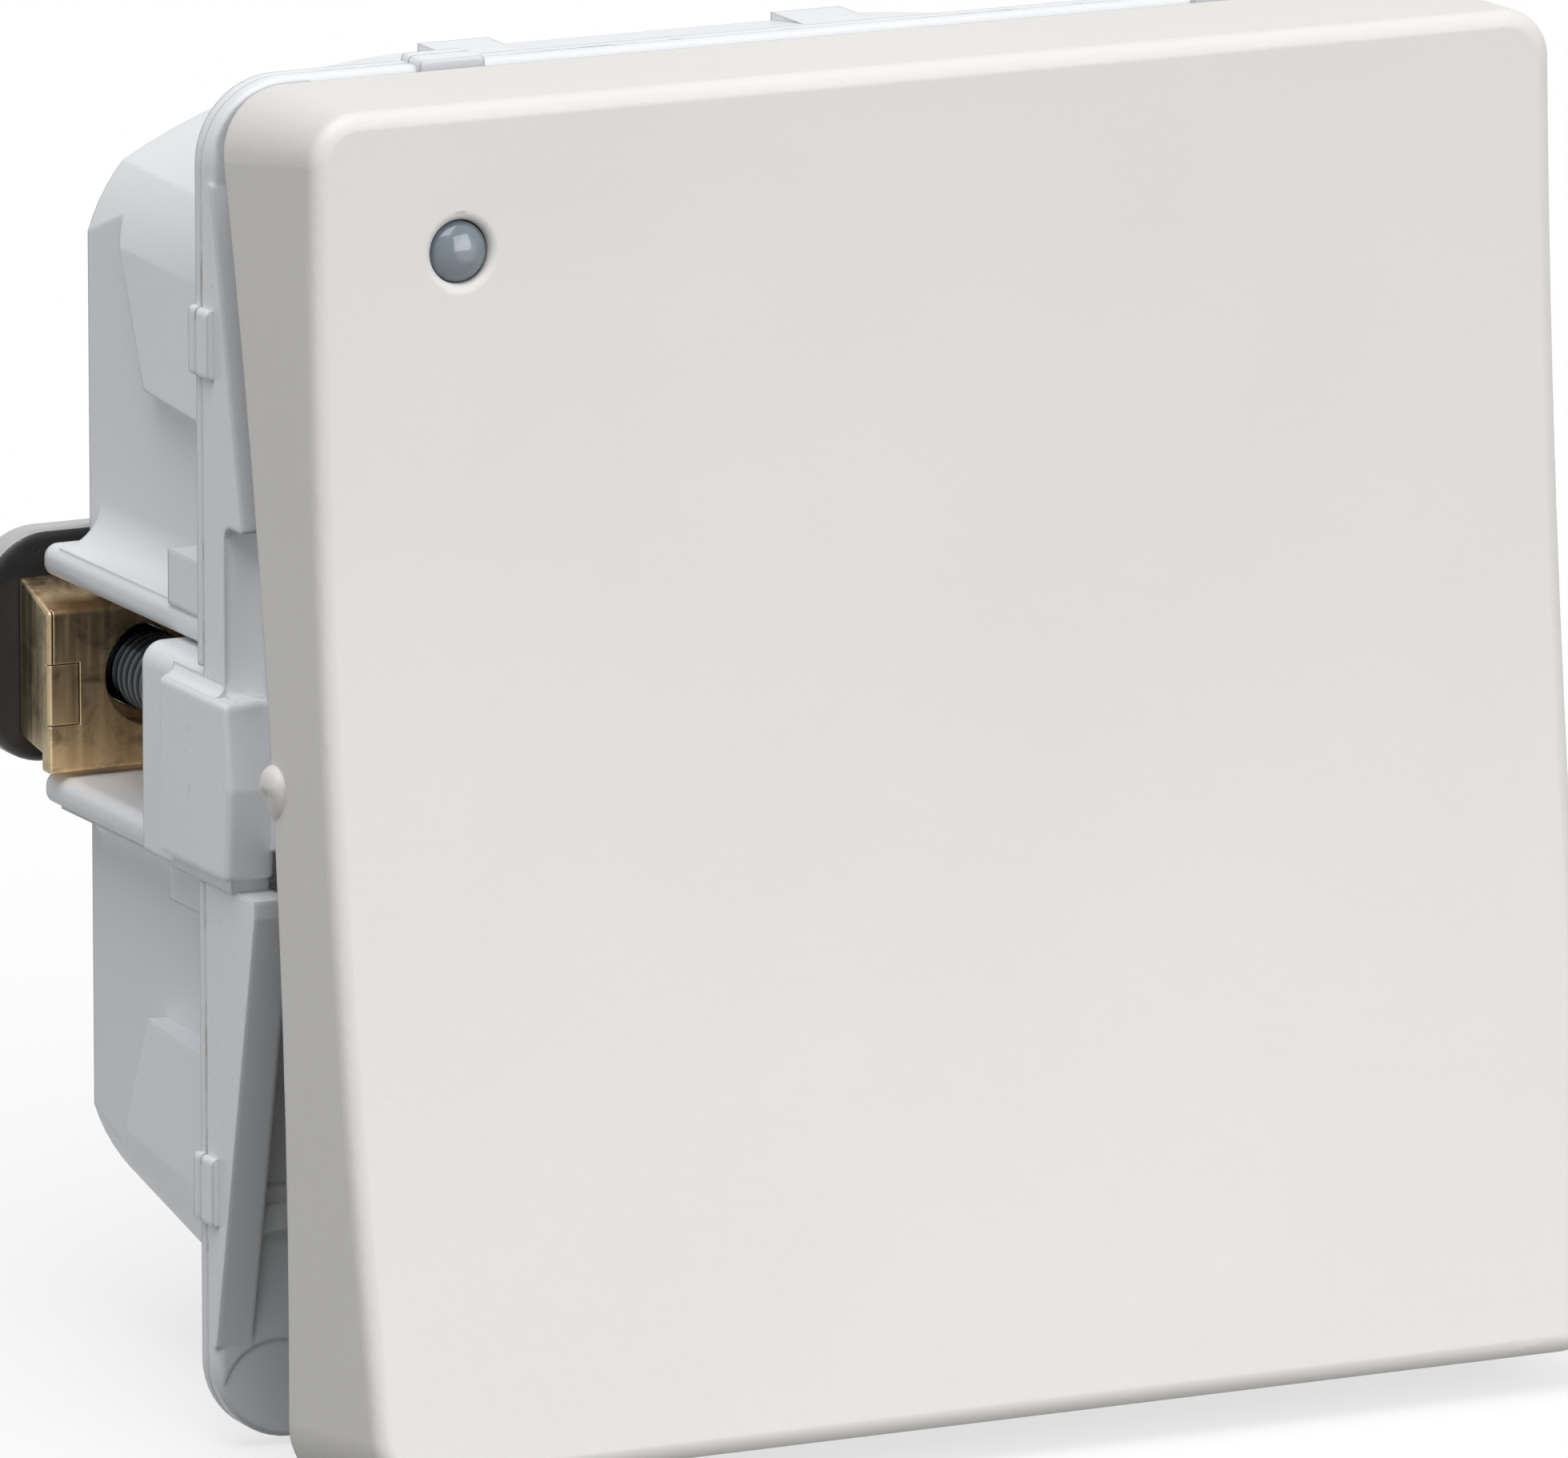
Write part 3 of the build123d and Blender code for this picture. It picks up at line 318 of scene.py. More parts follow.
def dusty_seam(tree, tone):
    """A tone with brown dust in patches along the seam between frame and housing."""
    depth = on_piece(tree, "ShaderNodeSeparateXYZ").outputs["Y"]
    off_seam = calculate(tree, "ABSOLUTE", calculate(tree, "SUBTRACT", depth, seam_plane))
    at_seam = spread(tree, off_seam, seam_core, seam_fade, 1.0, 0.0)
    patches = on_piece(tree, "ShaderNodeTexNoise", {"Scale": 420, "Detail": 3.0, "Roughness": 0.6})
    dust = spread(tree, patches.outputs["Fac"], patch_from, patch_full, 0.0, seam_cover)
    return lay_over(tree, tone, seam_brown, at_seam, dust)


def moulded_plastic(name, pale, deep, roughness, grain_depth, edge_radius, seam_dust=False):
    """Moulded plastic: two near tones that drift into each other, satin grain, soft edges."""
    material, tree, end = new_material(name)
    shader = principled(tree, end, IOR=plastic_index)
    skin = use_group(tree, moulded_skin, Edge_Radius=edge_radius, Grain_Depth=grain_depth)
    tone = two_tones(tree, skin.outputs["Drift"], pale, deep)
    if seam_dust:
        tone = dusty_seam(tree, tone)
    satin = uneven(tree, skin.outputs["Grain"], roughness - satin_swing, roughness + satin_swing)
    dress(tree, shader, tone, satin, skin.outputs["Normal"])
    return material


def finish_node(name, material):
    """A carried-over piece takes its finish."""
    for held in nodes[name].material_slots:
        held.material = material


finish_node("rear_housing", moulded_plastic(
    "housing_plastic", pale=(0.832, 0.846, 0.868), deep=(0.802, 0.816, 0.848),
    roughness=0.34, grain_depth=0.2, edge_radius=0.26 * mm, seam_dust=True))

# Base frame
# The front frame with its flange, side walls, claw blocks and pivot posts, one moulding in a cool white.
# Four snap hooks hold it to the rear housing. The heads of its two claw blocks stand proud, and hollow
# corners lead from them to the flange and the side walls.
frame_plastic = moulded_plastic(
    "frame_plastic", pale=(0.845, 0.858, 0.878), deep=(0.815, 0.828, 0.858),
    roughness=0.32, grain_depth=0.2, edge_radius=0.24 * mm, seam_dust=True)
finish_node("base_frame", frame_plastic)
boss_outer = -25.2 * mm
boss_inner = -23.3 * mm
boss_profile = [          # depth and height in mm
    (2.1, -3.55), (2.1, 2.86), (-3.5, 2.86), (-3.85, -0.24), (-3.55, -3.55)]
boss_edge = 0.2 * mm
cove_radius = 0.45 * mm
cove_root = 0.05 * mm     # how far a cove's back lies inside what it joins
cove_steps = 8
flange_side = -24.6 * mm
notch_floor = -2.3 * mm
notch_top = 9.0 * mm
wall_inner = -23.45 * mm
wall_cove_radius = 1.1 * mm
sill_outer = -24.75 * mm
sill_front = -3.1 * mm
sill_rear = 1.9 * mm
sill_low = -4.1 * mm
sill_top = -3.4 * mm


def new_piece(name, mesh, *materials):
    """A mesh made an object of the scene, with its materials."""
    for material in materials:
        mesh.materials.append(material)
    piece = bpy.data.objects.new(name, mesh)
    bpy.context.scene.collection.objects.link(piece)
    return piece


def mesh_from(name, shape):
    """A worked shape written out as a mesh with its faces outwards."""
    bmesh.ops.recalc_face_normals(shape, faces=shape.faces)
    mesh = bpy.data.meshes.new(name)
    shape.to_mesh(mesh)
    shape.free()
    return mesh


def outline_prism(outline, along, low, high):
    """A closed outline drawn out along one axis between two places; the outline is in the other two."""
    def at(first, second, place_along):
        point = [first, second]
        point.insert("XYZ".index(along), place_along)
        return Vector(point)

    shape = bmesh.new()
    face = shape.faces.new([shape.verts.new(at(first, second, low)) for first, second in outline])
    grown = bmesh.ops.extrude_face_region(shape, geom=[face])["geom"]
    far_corners = [part for part in grown if isinstance(part, bmesh.types.BMVert)]
    bmesh.ops.translate(shape, vec=at(0, 0, high - low), verts=far_corners)
    bmesh.ops.recalc_face_normals(shape, faces=shape.faces)
    return shape


def ease_edges(shape, width, segments, sharper_than=radians(30)):
    """Every edge that turns more than an angle is rounded."""
    sharp = [edge for edge in shape.edges if edge.calc_face_angle(0) > sharper_than]
    bmesh.ops.bevel(shape, geom=sharp, offset=width, segments=segments, profile=0.5,
                    affect="EDGES", clamp_overlap=True)


def turned(mesh):
    """A copy of a left piece's mesh turned to the right side, half a turn about the depth axis."""
    copy = mesh.copy()
    copy.transform(Matrix.Rotation(pi, 4, "Y"))
    return copy


def quarter_turn(steps, first=0):
    """The angles of a quarter turn in equal steps, from a first angle in degrees."""
    return [radians(first + 90 * step / steps) for step in range(steps + 1)]


def cove_outline(across, up, radius):
    """The hollow corner between a wall and a ledge that meet at a point; the hollow faces minus, plus."""
    hollow = [(across - radius + radius * sin(turn), up + radius - radius * cos(turn))
              for turn in quarter_turn(cove_steps)]
    return [*hollow, (across + cove_root, up + radius), (across + cove_root, up - cove_root),
            (across - radius, up - cove_root)]


def claw_boss_mesh():
    """The proud head that the claw screw's head sits in, with a hollow corner where it meets the flange."""
    shape = outline_prism([(y * mm, z * mm) for y, z in boss_profile], "X", boss_outer, boss_inner)
    ease_edges(shape, boss_edge, segments=3)
    rear, top = (part * mm for part in boss_profile[1])
    side_cove = outline_prism(cove_outline(flange_side, top, cove_radius), "Y", notch_floor, rear)
    floor_cove = outline_prism(cove_outline(notch_floor, top, cove_radius), "X", flange_side, boss_inner)
    sill = outline_prism([(sill_rear, sill_low), (sill_rear, sill_top), (sill_front, sill_top),
                          (sill_front, sill_low)], "X", sill_outer, boss_inner)
    wall_corner = cove_outline(wall_inner, -notch_floor, wall_cove_radius)
    wall_cove = outline_prism([(x, -y) for x, y in wall_corner], "Z", top, notch_top)
    for added in (side_cove, floor_cove, sill, wall_cove):
        shape.from_mesh(mesh_from("added", added))
    return mesh_from("claw_boss", shape)


left_boss = claw_boss_mesh()
for side, shape in (("left", left_boss), ("right", turned(left_boss))):
    boss = new_piece("claw_boss_" + side, shape, frame_plastic)
    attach(boss, "base")

# Rocker
# The finger plate, moulded in a warm white plastic with a spark-eroded satin face.
# It clips by its two rounded ears onto the pins of the pivot posts.
rocker_plastic = moulded_plastic(
    "rocker_plastic", pale=(0.772, 0.757, 0.730), deep=(0.752, 0.737, 0.710),
    roughness=0.42, grain_depth=0.6, edge_radius=0.12 * mm)
pivot_depth = -7.3 * mm
pivot_height = 0.2 * mm
rest_lean = -6.3          # degrees, top pressed in
skirt_half = 24.81 * mm
ear_proud = 0.46 * mm
ear_root = 0.3 * mm
ear_radius = 0.8 * mm
ear_tail = 1.35 * mm
ear_tail_radius = 0.38 * mm
ear_tail_drop = 0.8       # share of the tail's length that the foot is drawn out by
ear_taper = 1.5           # how soon the ear narrows to its tail
ear_tail_sink = 0.45      # how much lower the tail's tip stands than the dome
ear_behind = 0.35 * mm
ear_above = 0.4 * mm
ear_sides = 40
ear_rows = 9
lens_x = -18.7 * mm
lens_z = 19.0 * mm
lens_face = -4.28 * mm
lens_lean = 4.7           # degrees, the hollow face's own slope at the lens
weld = 0.0005 * mm
overshoot = 1 * mm        # how far a cutter runs out past a surface
look_inside = 0.02        # share of the way from a corner to its face's middle
same_surface = 0.002 * mm
same_facing = 0.98
rocker_crease = radians(28)
lens_bore = 1.13 * mm
bore_rear = 2 * mm
hole_sides = 64
hole_lip = 0.32 * mm
hole_lip_steps = 8
liner_radius = 1.4 * mm
liner_sink = 0.02 * mm
liner_depth = 1.2 * mm
tip_rocker = (Matrix.Translation((0, pivot_depth, pivot_height))
              @ Matrix.Rotation(radians(rest_lean), 4, "X"))
face_lens = (tip_rocker @ Matrix.Translation((lens_x, lens_face, lens_z))
             @ Matrix.Rotation(radians(lens_lean), 4, "X"))


def evaluated(piece):
    """The plain mesh that a piece's modifiers make of it."""
    return bpy.data.meshes.new_from_object(piece.evaluated_get(bpy.context.evaluated_depsgraph_get()))


def mend(shape, sliver):
    """Slivers taken out of a shape, and the holes that they leave filled."""
    bmesh.ops.dissolve_degenerate(shape, edges=shape.edges, dist=sliver)
    bmesh.ops.holes_fill(shape, edges=[edge for edge in shape.edges if edge.is_boundary], sides=0)


def cut(mesh, cutters, operation="DIFFERENCE"):
    """The mesh with every cutter's shape taken away, or joined to it."""
    held = new_piece("held", mesh)
    for cutter in cutters:
        tool = new_piece("tool", mesh_from("tool", cutter))
        step = held.modifiers.new("cut", "BOOLEAN")
        step.operation = operation
        step.solver = "EXACT"
        step.object = tool
        done = evaluated(held)
        held.modifiers.remove(step)
        held.data = done
        bpy.data.objects.remove(tool)
    bpy.data.objects.remove(held)
    shape = bmesh.new()
    shape.from_mesh(done)
    bmesh.ops.remove_doubles(shape, verts=shape.verts, dist=weld)
    mend(shape, weld)
    shape.to_mesh(done)
    shape.free()
    return done


def skin_rings(shape, rings):
    """Faces from each ring of corners to the next."""
    sides = len(rings[0])
    for near, far in zip(rings, rings[1:]):
        for step in range(sides):
            after = (step + 1) % sides
            shape.faces.new((near[step], near[after], far[after], far[step]))


def close_ring(shape, ring, point):
    """A fan of faces from a ring of corners to one point."""
    middle = shape.verts.new(point)
    for corner, after in zip(ring, ring[1:] + ring[:1]):
        shape.faces.new((corner, after, middle))


def lathe(profile, sides):
    """A profile of radius against depth turned about the lens's axis; both ends stand on the axis."""
    shape = bmesh.new()
    turns = [2 * pi * step / sides for step in range(sides)]
    rings = [[shape.verts.new((radius * cos(turn), depth, radius * sin(turn))) for turn in turns]
             for radius, depth in profile[1:-1]]
    skin_rings(shape, rings)
    close_ring(shape, rings[0], (0, profile[0][1], 0))
    close_ring(shape, rings[-1], (0, profile[-1][1], 0))
    bmesh.ops.recalc_face_normals(shape, faces=shape.faces)
    bmesh.ops.transform(shape, matrix=face_lens, verts=shape.verts)
    return shape


def keep_normals(mesh, source):
    """Give a cut mesh the CAD surface's own normals, so that its hollow face stays smooth."""
    tree = BVHTree.FromPolygons([vert.co for vert in source.vertices],
                                [tuple(face.vertices) for face in source.polygons])
    smooth = [corner.vector.copy() for corner in source.corner_normals]
    normals = [corner.vector.copy() for corner in mesh.corner_normals]
    for face in mesh.polygons:
        for loop in face.loop_indices:
            corner = mesh.vertices[mesh.loops[loop].vertex_index].co
            _, facing, index, distance = tree.find_nearest(corner.lerp(face.center, look_inside))
            if distance > same_surface or facing.dot(face.normal) < same_facing:
                continue
            old = source.polygons[index]
            shares = poly_3d_calc([source.vertices[vert].co for vert in old.vertices], corner)
            shared = (smooth[old_loop] * share for old_loop, share in zip(old.loop_indices, shares))
            normals[loop] = sum(shared, Vector()).normalized()
    mesh.normals_split_custom_set(normals)


def rocker_mesh():
    """The moulded plate, with the lens's hole given its rounded lip and narrowed to the lens."""
    shape = bmesh.new()
    shape.from_mesh(nodes["rocker"].data)
    bmesh.ops.remove_doubles(shape, verts=shape.verts, dist=weld)
    liner = lathe([(0, liner_sink), (liner_radius, liner_sink), (liner_radius, liner_depth),
                   (0, liner_depth)], hole_sides)
    bore = lathe([(0, -overshoot), (lens_bore, -overshoot), (lens_bore, bore_rear),
                  (0, bore_rear)], hole_sides)
    lip = [(lens_bore + hole_lip * (1 - sin(turn)), hole_lip * (1 - cos(turn)))
           for turn in quarter_turn(hole_lip_steps)]
    flare = lathe([(0, -hole_lip), (lens_bore + hole_lip, -hole_lip), *lip, (0, hole_lip)], hole_sides)
    lined = cut(mesh_from("rocker", shape), [liner], "UNION")
    plate = cut(lined, [bore, flare])
    plate.shade_smooth()
    plate.set_sharp_from_angle(angle=rocker_crease)
    keep_normals(plate, nodes["rocker"].data)
    return plate


def ear_outline():
    """The left ear's foot, as depth and height about its middle: round above, drawn to a tail below."""
    outline = []
    for step in range(ear_sides):
        angle = 2 * pi * step / ear_sides
        across, up = cos(angle), sin(angle)
        stretch = ear_tail - ear_tail_radius if up < 0 else 0
        reach = ear_radius * (1 + (ear_tail_radius / ear_radius - 1) * max(-up, 0) ** ear_taper)
        outline.append((across * reach, up * reach + stretch * min(up, 0) * ear_tail_drop))
    return outline


def ear_mesh():
    """The left pivot ear: a small dome outside the skirt with a tail that runs down and flattens."""
    shape = bmesh.new()
    outline = ear_outline()
    rings = []
    for turn in quarter_turn(ear_rows)[:-1]:
        ring = []
        for depth, height in outline:
            stand = ear_proud * sin(turn) * (1 - ear_tail_sink * max(-height, 0) / ear_tail)
            ring.append(shape.verts.new((
                -skirt_half - stand, ear_behind + depth * cos(turn), ear_above + height * cos(turn))))
        rings.append(ring)
    root = [shape.verts.new((-skirt_half + ear_root, vert.co.y, vert.co.z)) for vert in rings[0]]
    skin_rings(shape, [root, *rings])
    close_ring(shape, rings[-1], (-skirt_half - ear_proud, ear_behind, ear_above))
    shape.faces.new(root)
    bmesh.ops.transform(shape, matrix=tip_rocker, verts=shape.verts)
    mesh = mesh_from("pivot_ear", shape)
    mesh.shade_smooth()
    return mesh


rocker_plate = new_piece("rocker_plate", rocker_mesh(), rocker_plastic)
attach(rocker_plate, "rocker")
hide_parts("rocker")
left_ear = ear_mesh()
right_ear = left_ear.copy()
right_ear.transform(Matrix.Scale(-1, 4, (1, 0, 0)))
right_ear.flip_normals()
for side, shape in (("left", left_ear), ("right", right_ear)):
    ear = new_piece("pivot_ear_" + side, shape, rocker_plastic)
    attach(ear, "rocker")

# Indicator
# A lens of milky smoke-blue plastic stands in the rocker's hole, with a round clear lamp behind it.
# The lamp, its resistor and the wire link are soldered to a small green board behind the deck.
lens_index = 1.49
lens_sides = 56
lens_radius = 1.10 * mm
lens_front = -0.16 * mm
lens_dome = 0.62 * mm
lens_dome_steps = 12
stem_rear = 1.75 * mm
collar_radius = 1.85 * mm
collar_front = 1.8 * mm
collar_rear = 3.35 * mm
collar_chamfer = 0.15 * mm
lens_crease = radians(40)
# where the lens is painted paler, a painted highlight of the lamp seen through it
lamp_highlight_middle = Vector((0.12, -0.1, 0.1)) * mm
lamp_highlight_core = 0.30 * mm
lamp_highlight_edge = 0.55 * mm
clouded = 0.88            # how much of its tint a clear plastic keeps where it is cloudy,
haze = 0.04               # and how much rougher it is there


def clear_plastic(name, tint, roughness):
    """Clear moulded plastic with a faint tint, here and there a little deeper."""
    material, tree, end = new_material(name)
    shader = principled(tree, end, IOR=lens_index, Transmission_Weight=1.0)
    cloud = on_piece(tree, "ShaderNodeTexNoise", {"Scale": 900, "Detail": 2.0}).outputs["Fac"]
    deeper = tuple(clouded * part for part in tint)
    tone = blend_colours(tree, cloud, tint, deeper)
    dress(tree, shader, tone, uneven(tree, cloud, roughness, roughness + haze))
    return material


def smoked_lens():
    """Milky smoke-blue plastic, with a paler patch painted on where the lamp behind it shows through: a
    painted highlight.
    """
    material, tree, end = new_material("lens_plastic")
    shader = principled(
        tree, end, IOR=lens_index, Transmission_Weight=0.25, Coat_Weight=0.5, Coat_Roughness=0.06)
    aside = on_piece(tree, "ShaderNodeVectorMath", {1: face_lens @ lamp_highlight_middle}, operation="DISTANCE")
    lamp_highlight = spread(tree, aside.outputs["Value"], lamp_highlight_core, lamp_highlight_edge, 1.0, 0.0)
    cloud = on_piece(tree, "ShaderNodeTexNoise", {"Scale": 1100, "Detail": 2.0}).outputs["Fac"]
    tone = blend_colours(tree, cloud, (0.19, 0.235, 0.27), (0.26, 0.305, 0.35))
    # painted highlight: the lamp behind the lens, painted as a paler patch on the lens's colour
    tone = lay_over(tree, tone, (0.50, 0.55, 0.60), lamp_highlight, strength=0.45)
    dress(tree, shader, tone, uneven(tree, cloud, 0.10, 0.16))
    return material


def lens_mesh():
    """A turned lens: shallow dome, plain stem, and the collar that holds it behind the face."""
    dome = [(lens_radius * sin(turn), lens_front + lens_dome * (1 - cos(turn)))
            for turn in quarter_turn(lens_dome_steps)[1:]]
    profile = [(0, lens_front), *dome, (lens_radius, stem_rear), (collar_radius, collar_front),
               (collar_radius, collar_rear - collar_chamfer), (collar_radius - collar_chamfer, collar_rear),
               (0, collar_rear)]
    mesh = mesh_from("lens", lathe(profile, lens_sides))
    mesh.shade_smooth()
    mesh.set_sharp_from_angle(angle=lens_crease)
    return mesh


lens = new_piece("indicator_lens_turned", lens_mesh(), smoked_lens())
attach(lens, "rocker")
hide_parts("indicator_lens")
finish_node("indicator_led", clear_plastic("lamp_plastic", tint=(0.86, 0.90, 0.92), roughness=0.12))


def coated_board(name, colour, darker):
    """Lacquered laminate with a faint weave."""
    material, tree, end = new_material(name)
    shader = principled(tree, end, IOR=plastic_index, Coat_Weight=0.4, Coat_Roughness=0.15)
    weave = on_piece(tree, "ShaderNodeTexWave", {"Scale": 900, "Distortion": 0.6}, bands_direction="X")
    tone = blend_colours(tree, weave.outputs["Fac"], colour, darker)
    dress(tree, shader, tone, spread(tree, weave.outputs["Fac"], 0, 1, 0.38, 0.46))
    return material


finish_node("indicator_board", coated_board(
    "board_lacquer", colour=(0.02, 0.16, 0.06), darker=(0.015, 0.13, 0.05)))
finish_node("indicator_resistor", moulded_plastic(
    "resistor_lacquer", pale=(0.62, 0.46, 0.28), deep=(0.57, 0.42, 0.25),
    roughness=0.45, grain_depth=0.2, edge_radius=0.1 * mm))

# Changeover mechanism
# The rocker's fork swings the toggle, and a spring between toggle and contact lever snaps the lever over.
# Toggle in white low-friction plastic, lever and terminal strips in bronze, contact tips in silver.
finish_node("toggle", moulded_plastic(
    "inner_plastic", pale=(0.78, 0.77, 0.72), deep=(0.75, 0.74, 0.69),
    roughness=0.45, grain_depth=0.3, edge_radius=0.1 * mm))
stain_from = 0.50
stain_full = 0.66
edge_from = 0.995         # how far a rounded edge's normal still agrees with its face's
edge_full = 0.90
drawn_smoother = 0.06     # how far a metal's roughness swings with its streaks
drawn_rougher = 0.08


def make_metal_wear_and_edge_highlight():
    """Drawing streaks along one axis, dark stains, and a mask of the rounded edges that catch the light,
    for a painted highlight.
    """
    group, start, end = shader_group(
        "metal_wear_and_edge_highlight",
        {"Streak Scale": 2500, "Stretch": 0.06, "Stain Scale": 500, "Edge Radius": 0.08 * mm,
         "Streak Depth": 0.3},
        {"Streaks": "NodeSocketFloat", "Stains": "NodeSocketFloat", "Edges": "NodeSocketFloat",
         "Normal": "NodeSocketVector"})
    squeeze = place(group, "ShaderNodeCombineXYZ", {0: 1.0, 1: 1.0})
    group.links.new(start.outputs["Stretch"], squeeze.inputs[2])
    lengthen = on_piece(group, "ShaderNodeVectorMath", operation="MULTIPLY")
    group.links.new(squeeze.outputs[0], lengthen.inputs[1])
    streaks = place(group, "ShaderNodeTexNoise", {"Detail": 3.0, "Roughness": 0.6})
    group.links.new(lengthen.outputs[0], streaks.inputs["Vector"])
    group.links.new(start.outputs["Streak Scale"], streaks.inputs["Scale"])
    stains = on_piece(group, "ShaderNodeTexNoise", {"Detail": 4.0, "Roughness": 0.65, "Distortion": 0.6})
    group.links.new(start.outputs["Stain Scale"], stains.inputs["Scale"])
    rounded, normal = rounded_bump(group, start, "Streak Depth", streaks.outputs["Fac"])
    agree = place(group, "ShaderNodeVectorMath", operation="DOT_PRODUCT")
    group.links.new(rounded, agree.inputs[0])
    group.links.new(place(group, "ShaderNodeNewGeometry").outputs["Normal"], agree.inputs[1])
    # the rounded edges, where a painted highlight goes
    edges = spread(group, agree.outputs["Value"], edge_from, edge_full)
    return give_out(group, end, Streaks=streaks.outputs["Fac"], Stains=stains.outputs["Fac"],
                    Edges=edges, Normal=normal)


metal_wear_and_edge_highlight = make_metal_wear_and_edge_highlight()


def worked_metal(name, bright, dull, stained, roughness):
    """Drawn or stamped metal: streaks between two tones, darker stains, and brighter edges that are a
    painted highlight.
    """
    material, tree, end = new_material(name)
    shader = principled(tree, end, Metallic=1.0)
    wear_and_highlight = use_group(tree, metal_wear_and_edge_highlight)
    stains = spread(tree, wear_and_highlight.outputs["Stains"], stain_from, stain_full)
    tone = two_tones(tree, wear_and_highlight.outputs["Streaks"], dull, bright)
    tone = lay_over(tree, tone, stained, stains, strength=0.7)
    # painted highlight along the rounded edges
    tone = lay_over(tree, tone, bright, wear_and_highlight.outputs["Edges"], strength=0.6)
    drawn = uneven(tree, wear_and_highlight.outputs["Streaks"], roughness - drawn_smoother, roughness + drawn_rougher)
    dress(tree, shader, tone, drawn, wear_and_highlight.outputs["Normal"])
    return material


contact_bronze = worked_metal(
    "contact_bronze", bright=(0.86, 0.50, 0.32), dull=(0.74, 0.42, 0.26), stained=(0.40, 0.22, 0.14),
    roughness=0.30)
contact_silver = worked_metal(
    "contact_silver", bright=(0.86, 0.85, 0.83), dull=(0.76, 0.75, 0.73), stained=(0.45, 0.42, 0.38),
    roughness=0.22)
spring_steel = worked_metal(
    "spring_steel", bright=(0.62, 0.63, 0.65), dull=(0.50, 0.51, 0.53), stained=(0.30, 0.30, 0.31),
    roughness=0.25)
for name in ("contact_lever", "common_strip", "traveller_strip_upper", "traveller_strip_lower",
             "neutral_strip", "indicator_link"):
    finish_node(name, contact_bronze)
for name in ("moving_contact_tips", "fixed_contact_tips"):
    finish_node(name, contact_silver)
finish_node("snap_spring", spring_steel)

# Terminals
# Each conductor is pushed in from the rear under a stainless leaf that grips it against the strip.
# A grey plastic lever opens the leaf again when it is pressed with a screwdriver.
lever_plastic = moulded_plastic(
    "lever_plastic", pale=(0.24, 0.25, 0.26), deep=(0.22, 0.23, 0.24),
    roughness=0.42, grain_depth=0.4, edge_radius=0.1 * mm)
for corner in ("common", "neutral", "traveller_upper", "traveller_lower"):
    finish_node("clamp_spring_" + corner, spring_steel)
    finish_node("release_lever_" + corner, lever_plastic)

# Claws
# A brass nut runs in each side channel on an M3 screw and pushes a black steel plate behind the wall frame.
# The nut is folded from thick sheet: its side leaf ends in a tongue let into the front leaf. The screw is
# zinc-plated steel. The right claw is the left one turned half a turn about the depth axis.
claw_axis = sum(corner.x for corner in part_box("claw_screw_left")) / 2
cutter_sides = 64
nut_front_drop = 0.85 * mm
nut_lip = 0.7 * mm
nut_lip_height = 0.65 * mm
nut_rear_rise = 0.95 * mm
nut_edge = 0.14 * mm
nut_bore = 1.95 * mm
nut_bore_depth = 1.2 * mm
nut_thread_bore = 1.55 * mm
tongue_reach = 1.19 * mm
tongue_top = 0.6 * mm
tongue_bottom = -1.6 * mm
seam_width = 0.05 * mm
seam_depth = 0.2 * mm
fold_inset = 0.16 * mm
shaded_side_facing = -0.5        # the side leaf's faces, painted a darker olive as painted shade, look further to the side than this
shaded_brown_from = -2.6 * mm    # painted shade: the front leaf turns from golden to brown upwards, towards the rib above it
shaded_brown_full = 2.2 * mm
brass_streak_low = 0.20
brass_streak_high = 0.80
thread_pitch = 0.5 * mm
thread_major = 1.48 * mm
thread_minor = 1.19 * mm
thread_tip = 0.45 * mm
thread_flank = 1.35       # steeper than 1, so that the crest is flat,
thread_root = 0.12        # and so is this much of the root
thread_steps = 8
thread_sides = 48
thread_weld = 0.002 * mm
thread_sliver = 0.001 * mm
crest_highlight_from = 0.12 * mm     # below the crest
crest_highlight_full = 0.02 * mm
screw_head_radius = 2.6 * mm
screw_head_height = 2.1 * mm
screw_slot_width = 0.7 * mm
screw_slot_depth = 0.9 * mm
screw_head_edge = 0.4 * mm
plate_corner = 2.5 * mm
plate_corner_steps = 12
plate_edge = 0.32 * mm
plate_bore = 1.65 * mm
lit_rim_upward = 0.25         # the sheared rim's faces that are painted lighter, as lit from above, look up more than this,
lit_rim_forward = 0.75        # and forward or back less than this


def round_bar(radius, front, rear, sides=cutter_sides):
    """A round bar along Y, on the left claw's axis."""
    turns = [2 * pi * step / sides for step in range(sides)]
    outline = [(claw_axis + radius * cos(turn), radius * sin(turn)) for turn in turns]
    return outline_prism(outline, "Y", front, rear)


def flat_bar(low, high):
    """A square cutter between two corners."""
    outline = [(low[0], low[2]), (high[0], low[2]), (high[0], high[2]), (low[0], high[2])]
    return outline_prism(outline, "Y", low[1], high[1])


def mark_faces(mesh, name, chosen):
    """An attribute for the finish to read: 1 on the faces whose normal is chosen, 0 on the others."""
    mark = mesh.attributes.new(name, "FLOAT", "FACE")
    for index, face in enumerate(mesh.polygons):
        mark.data[index].value = float(chosen(face.normal))


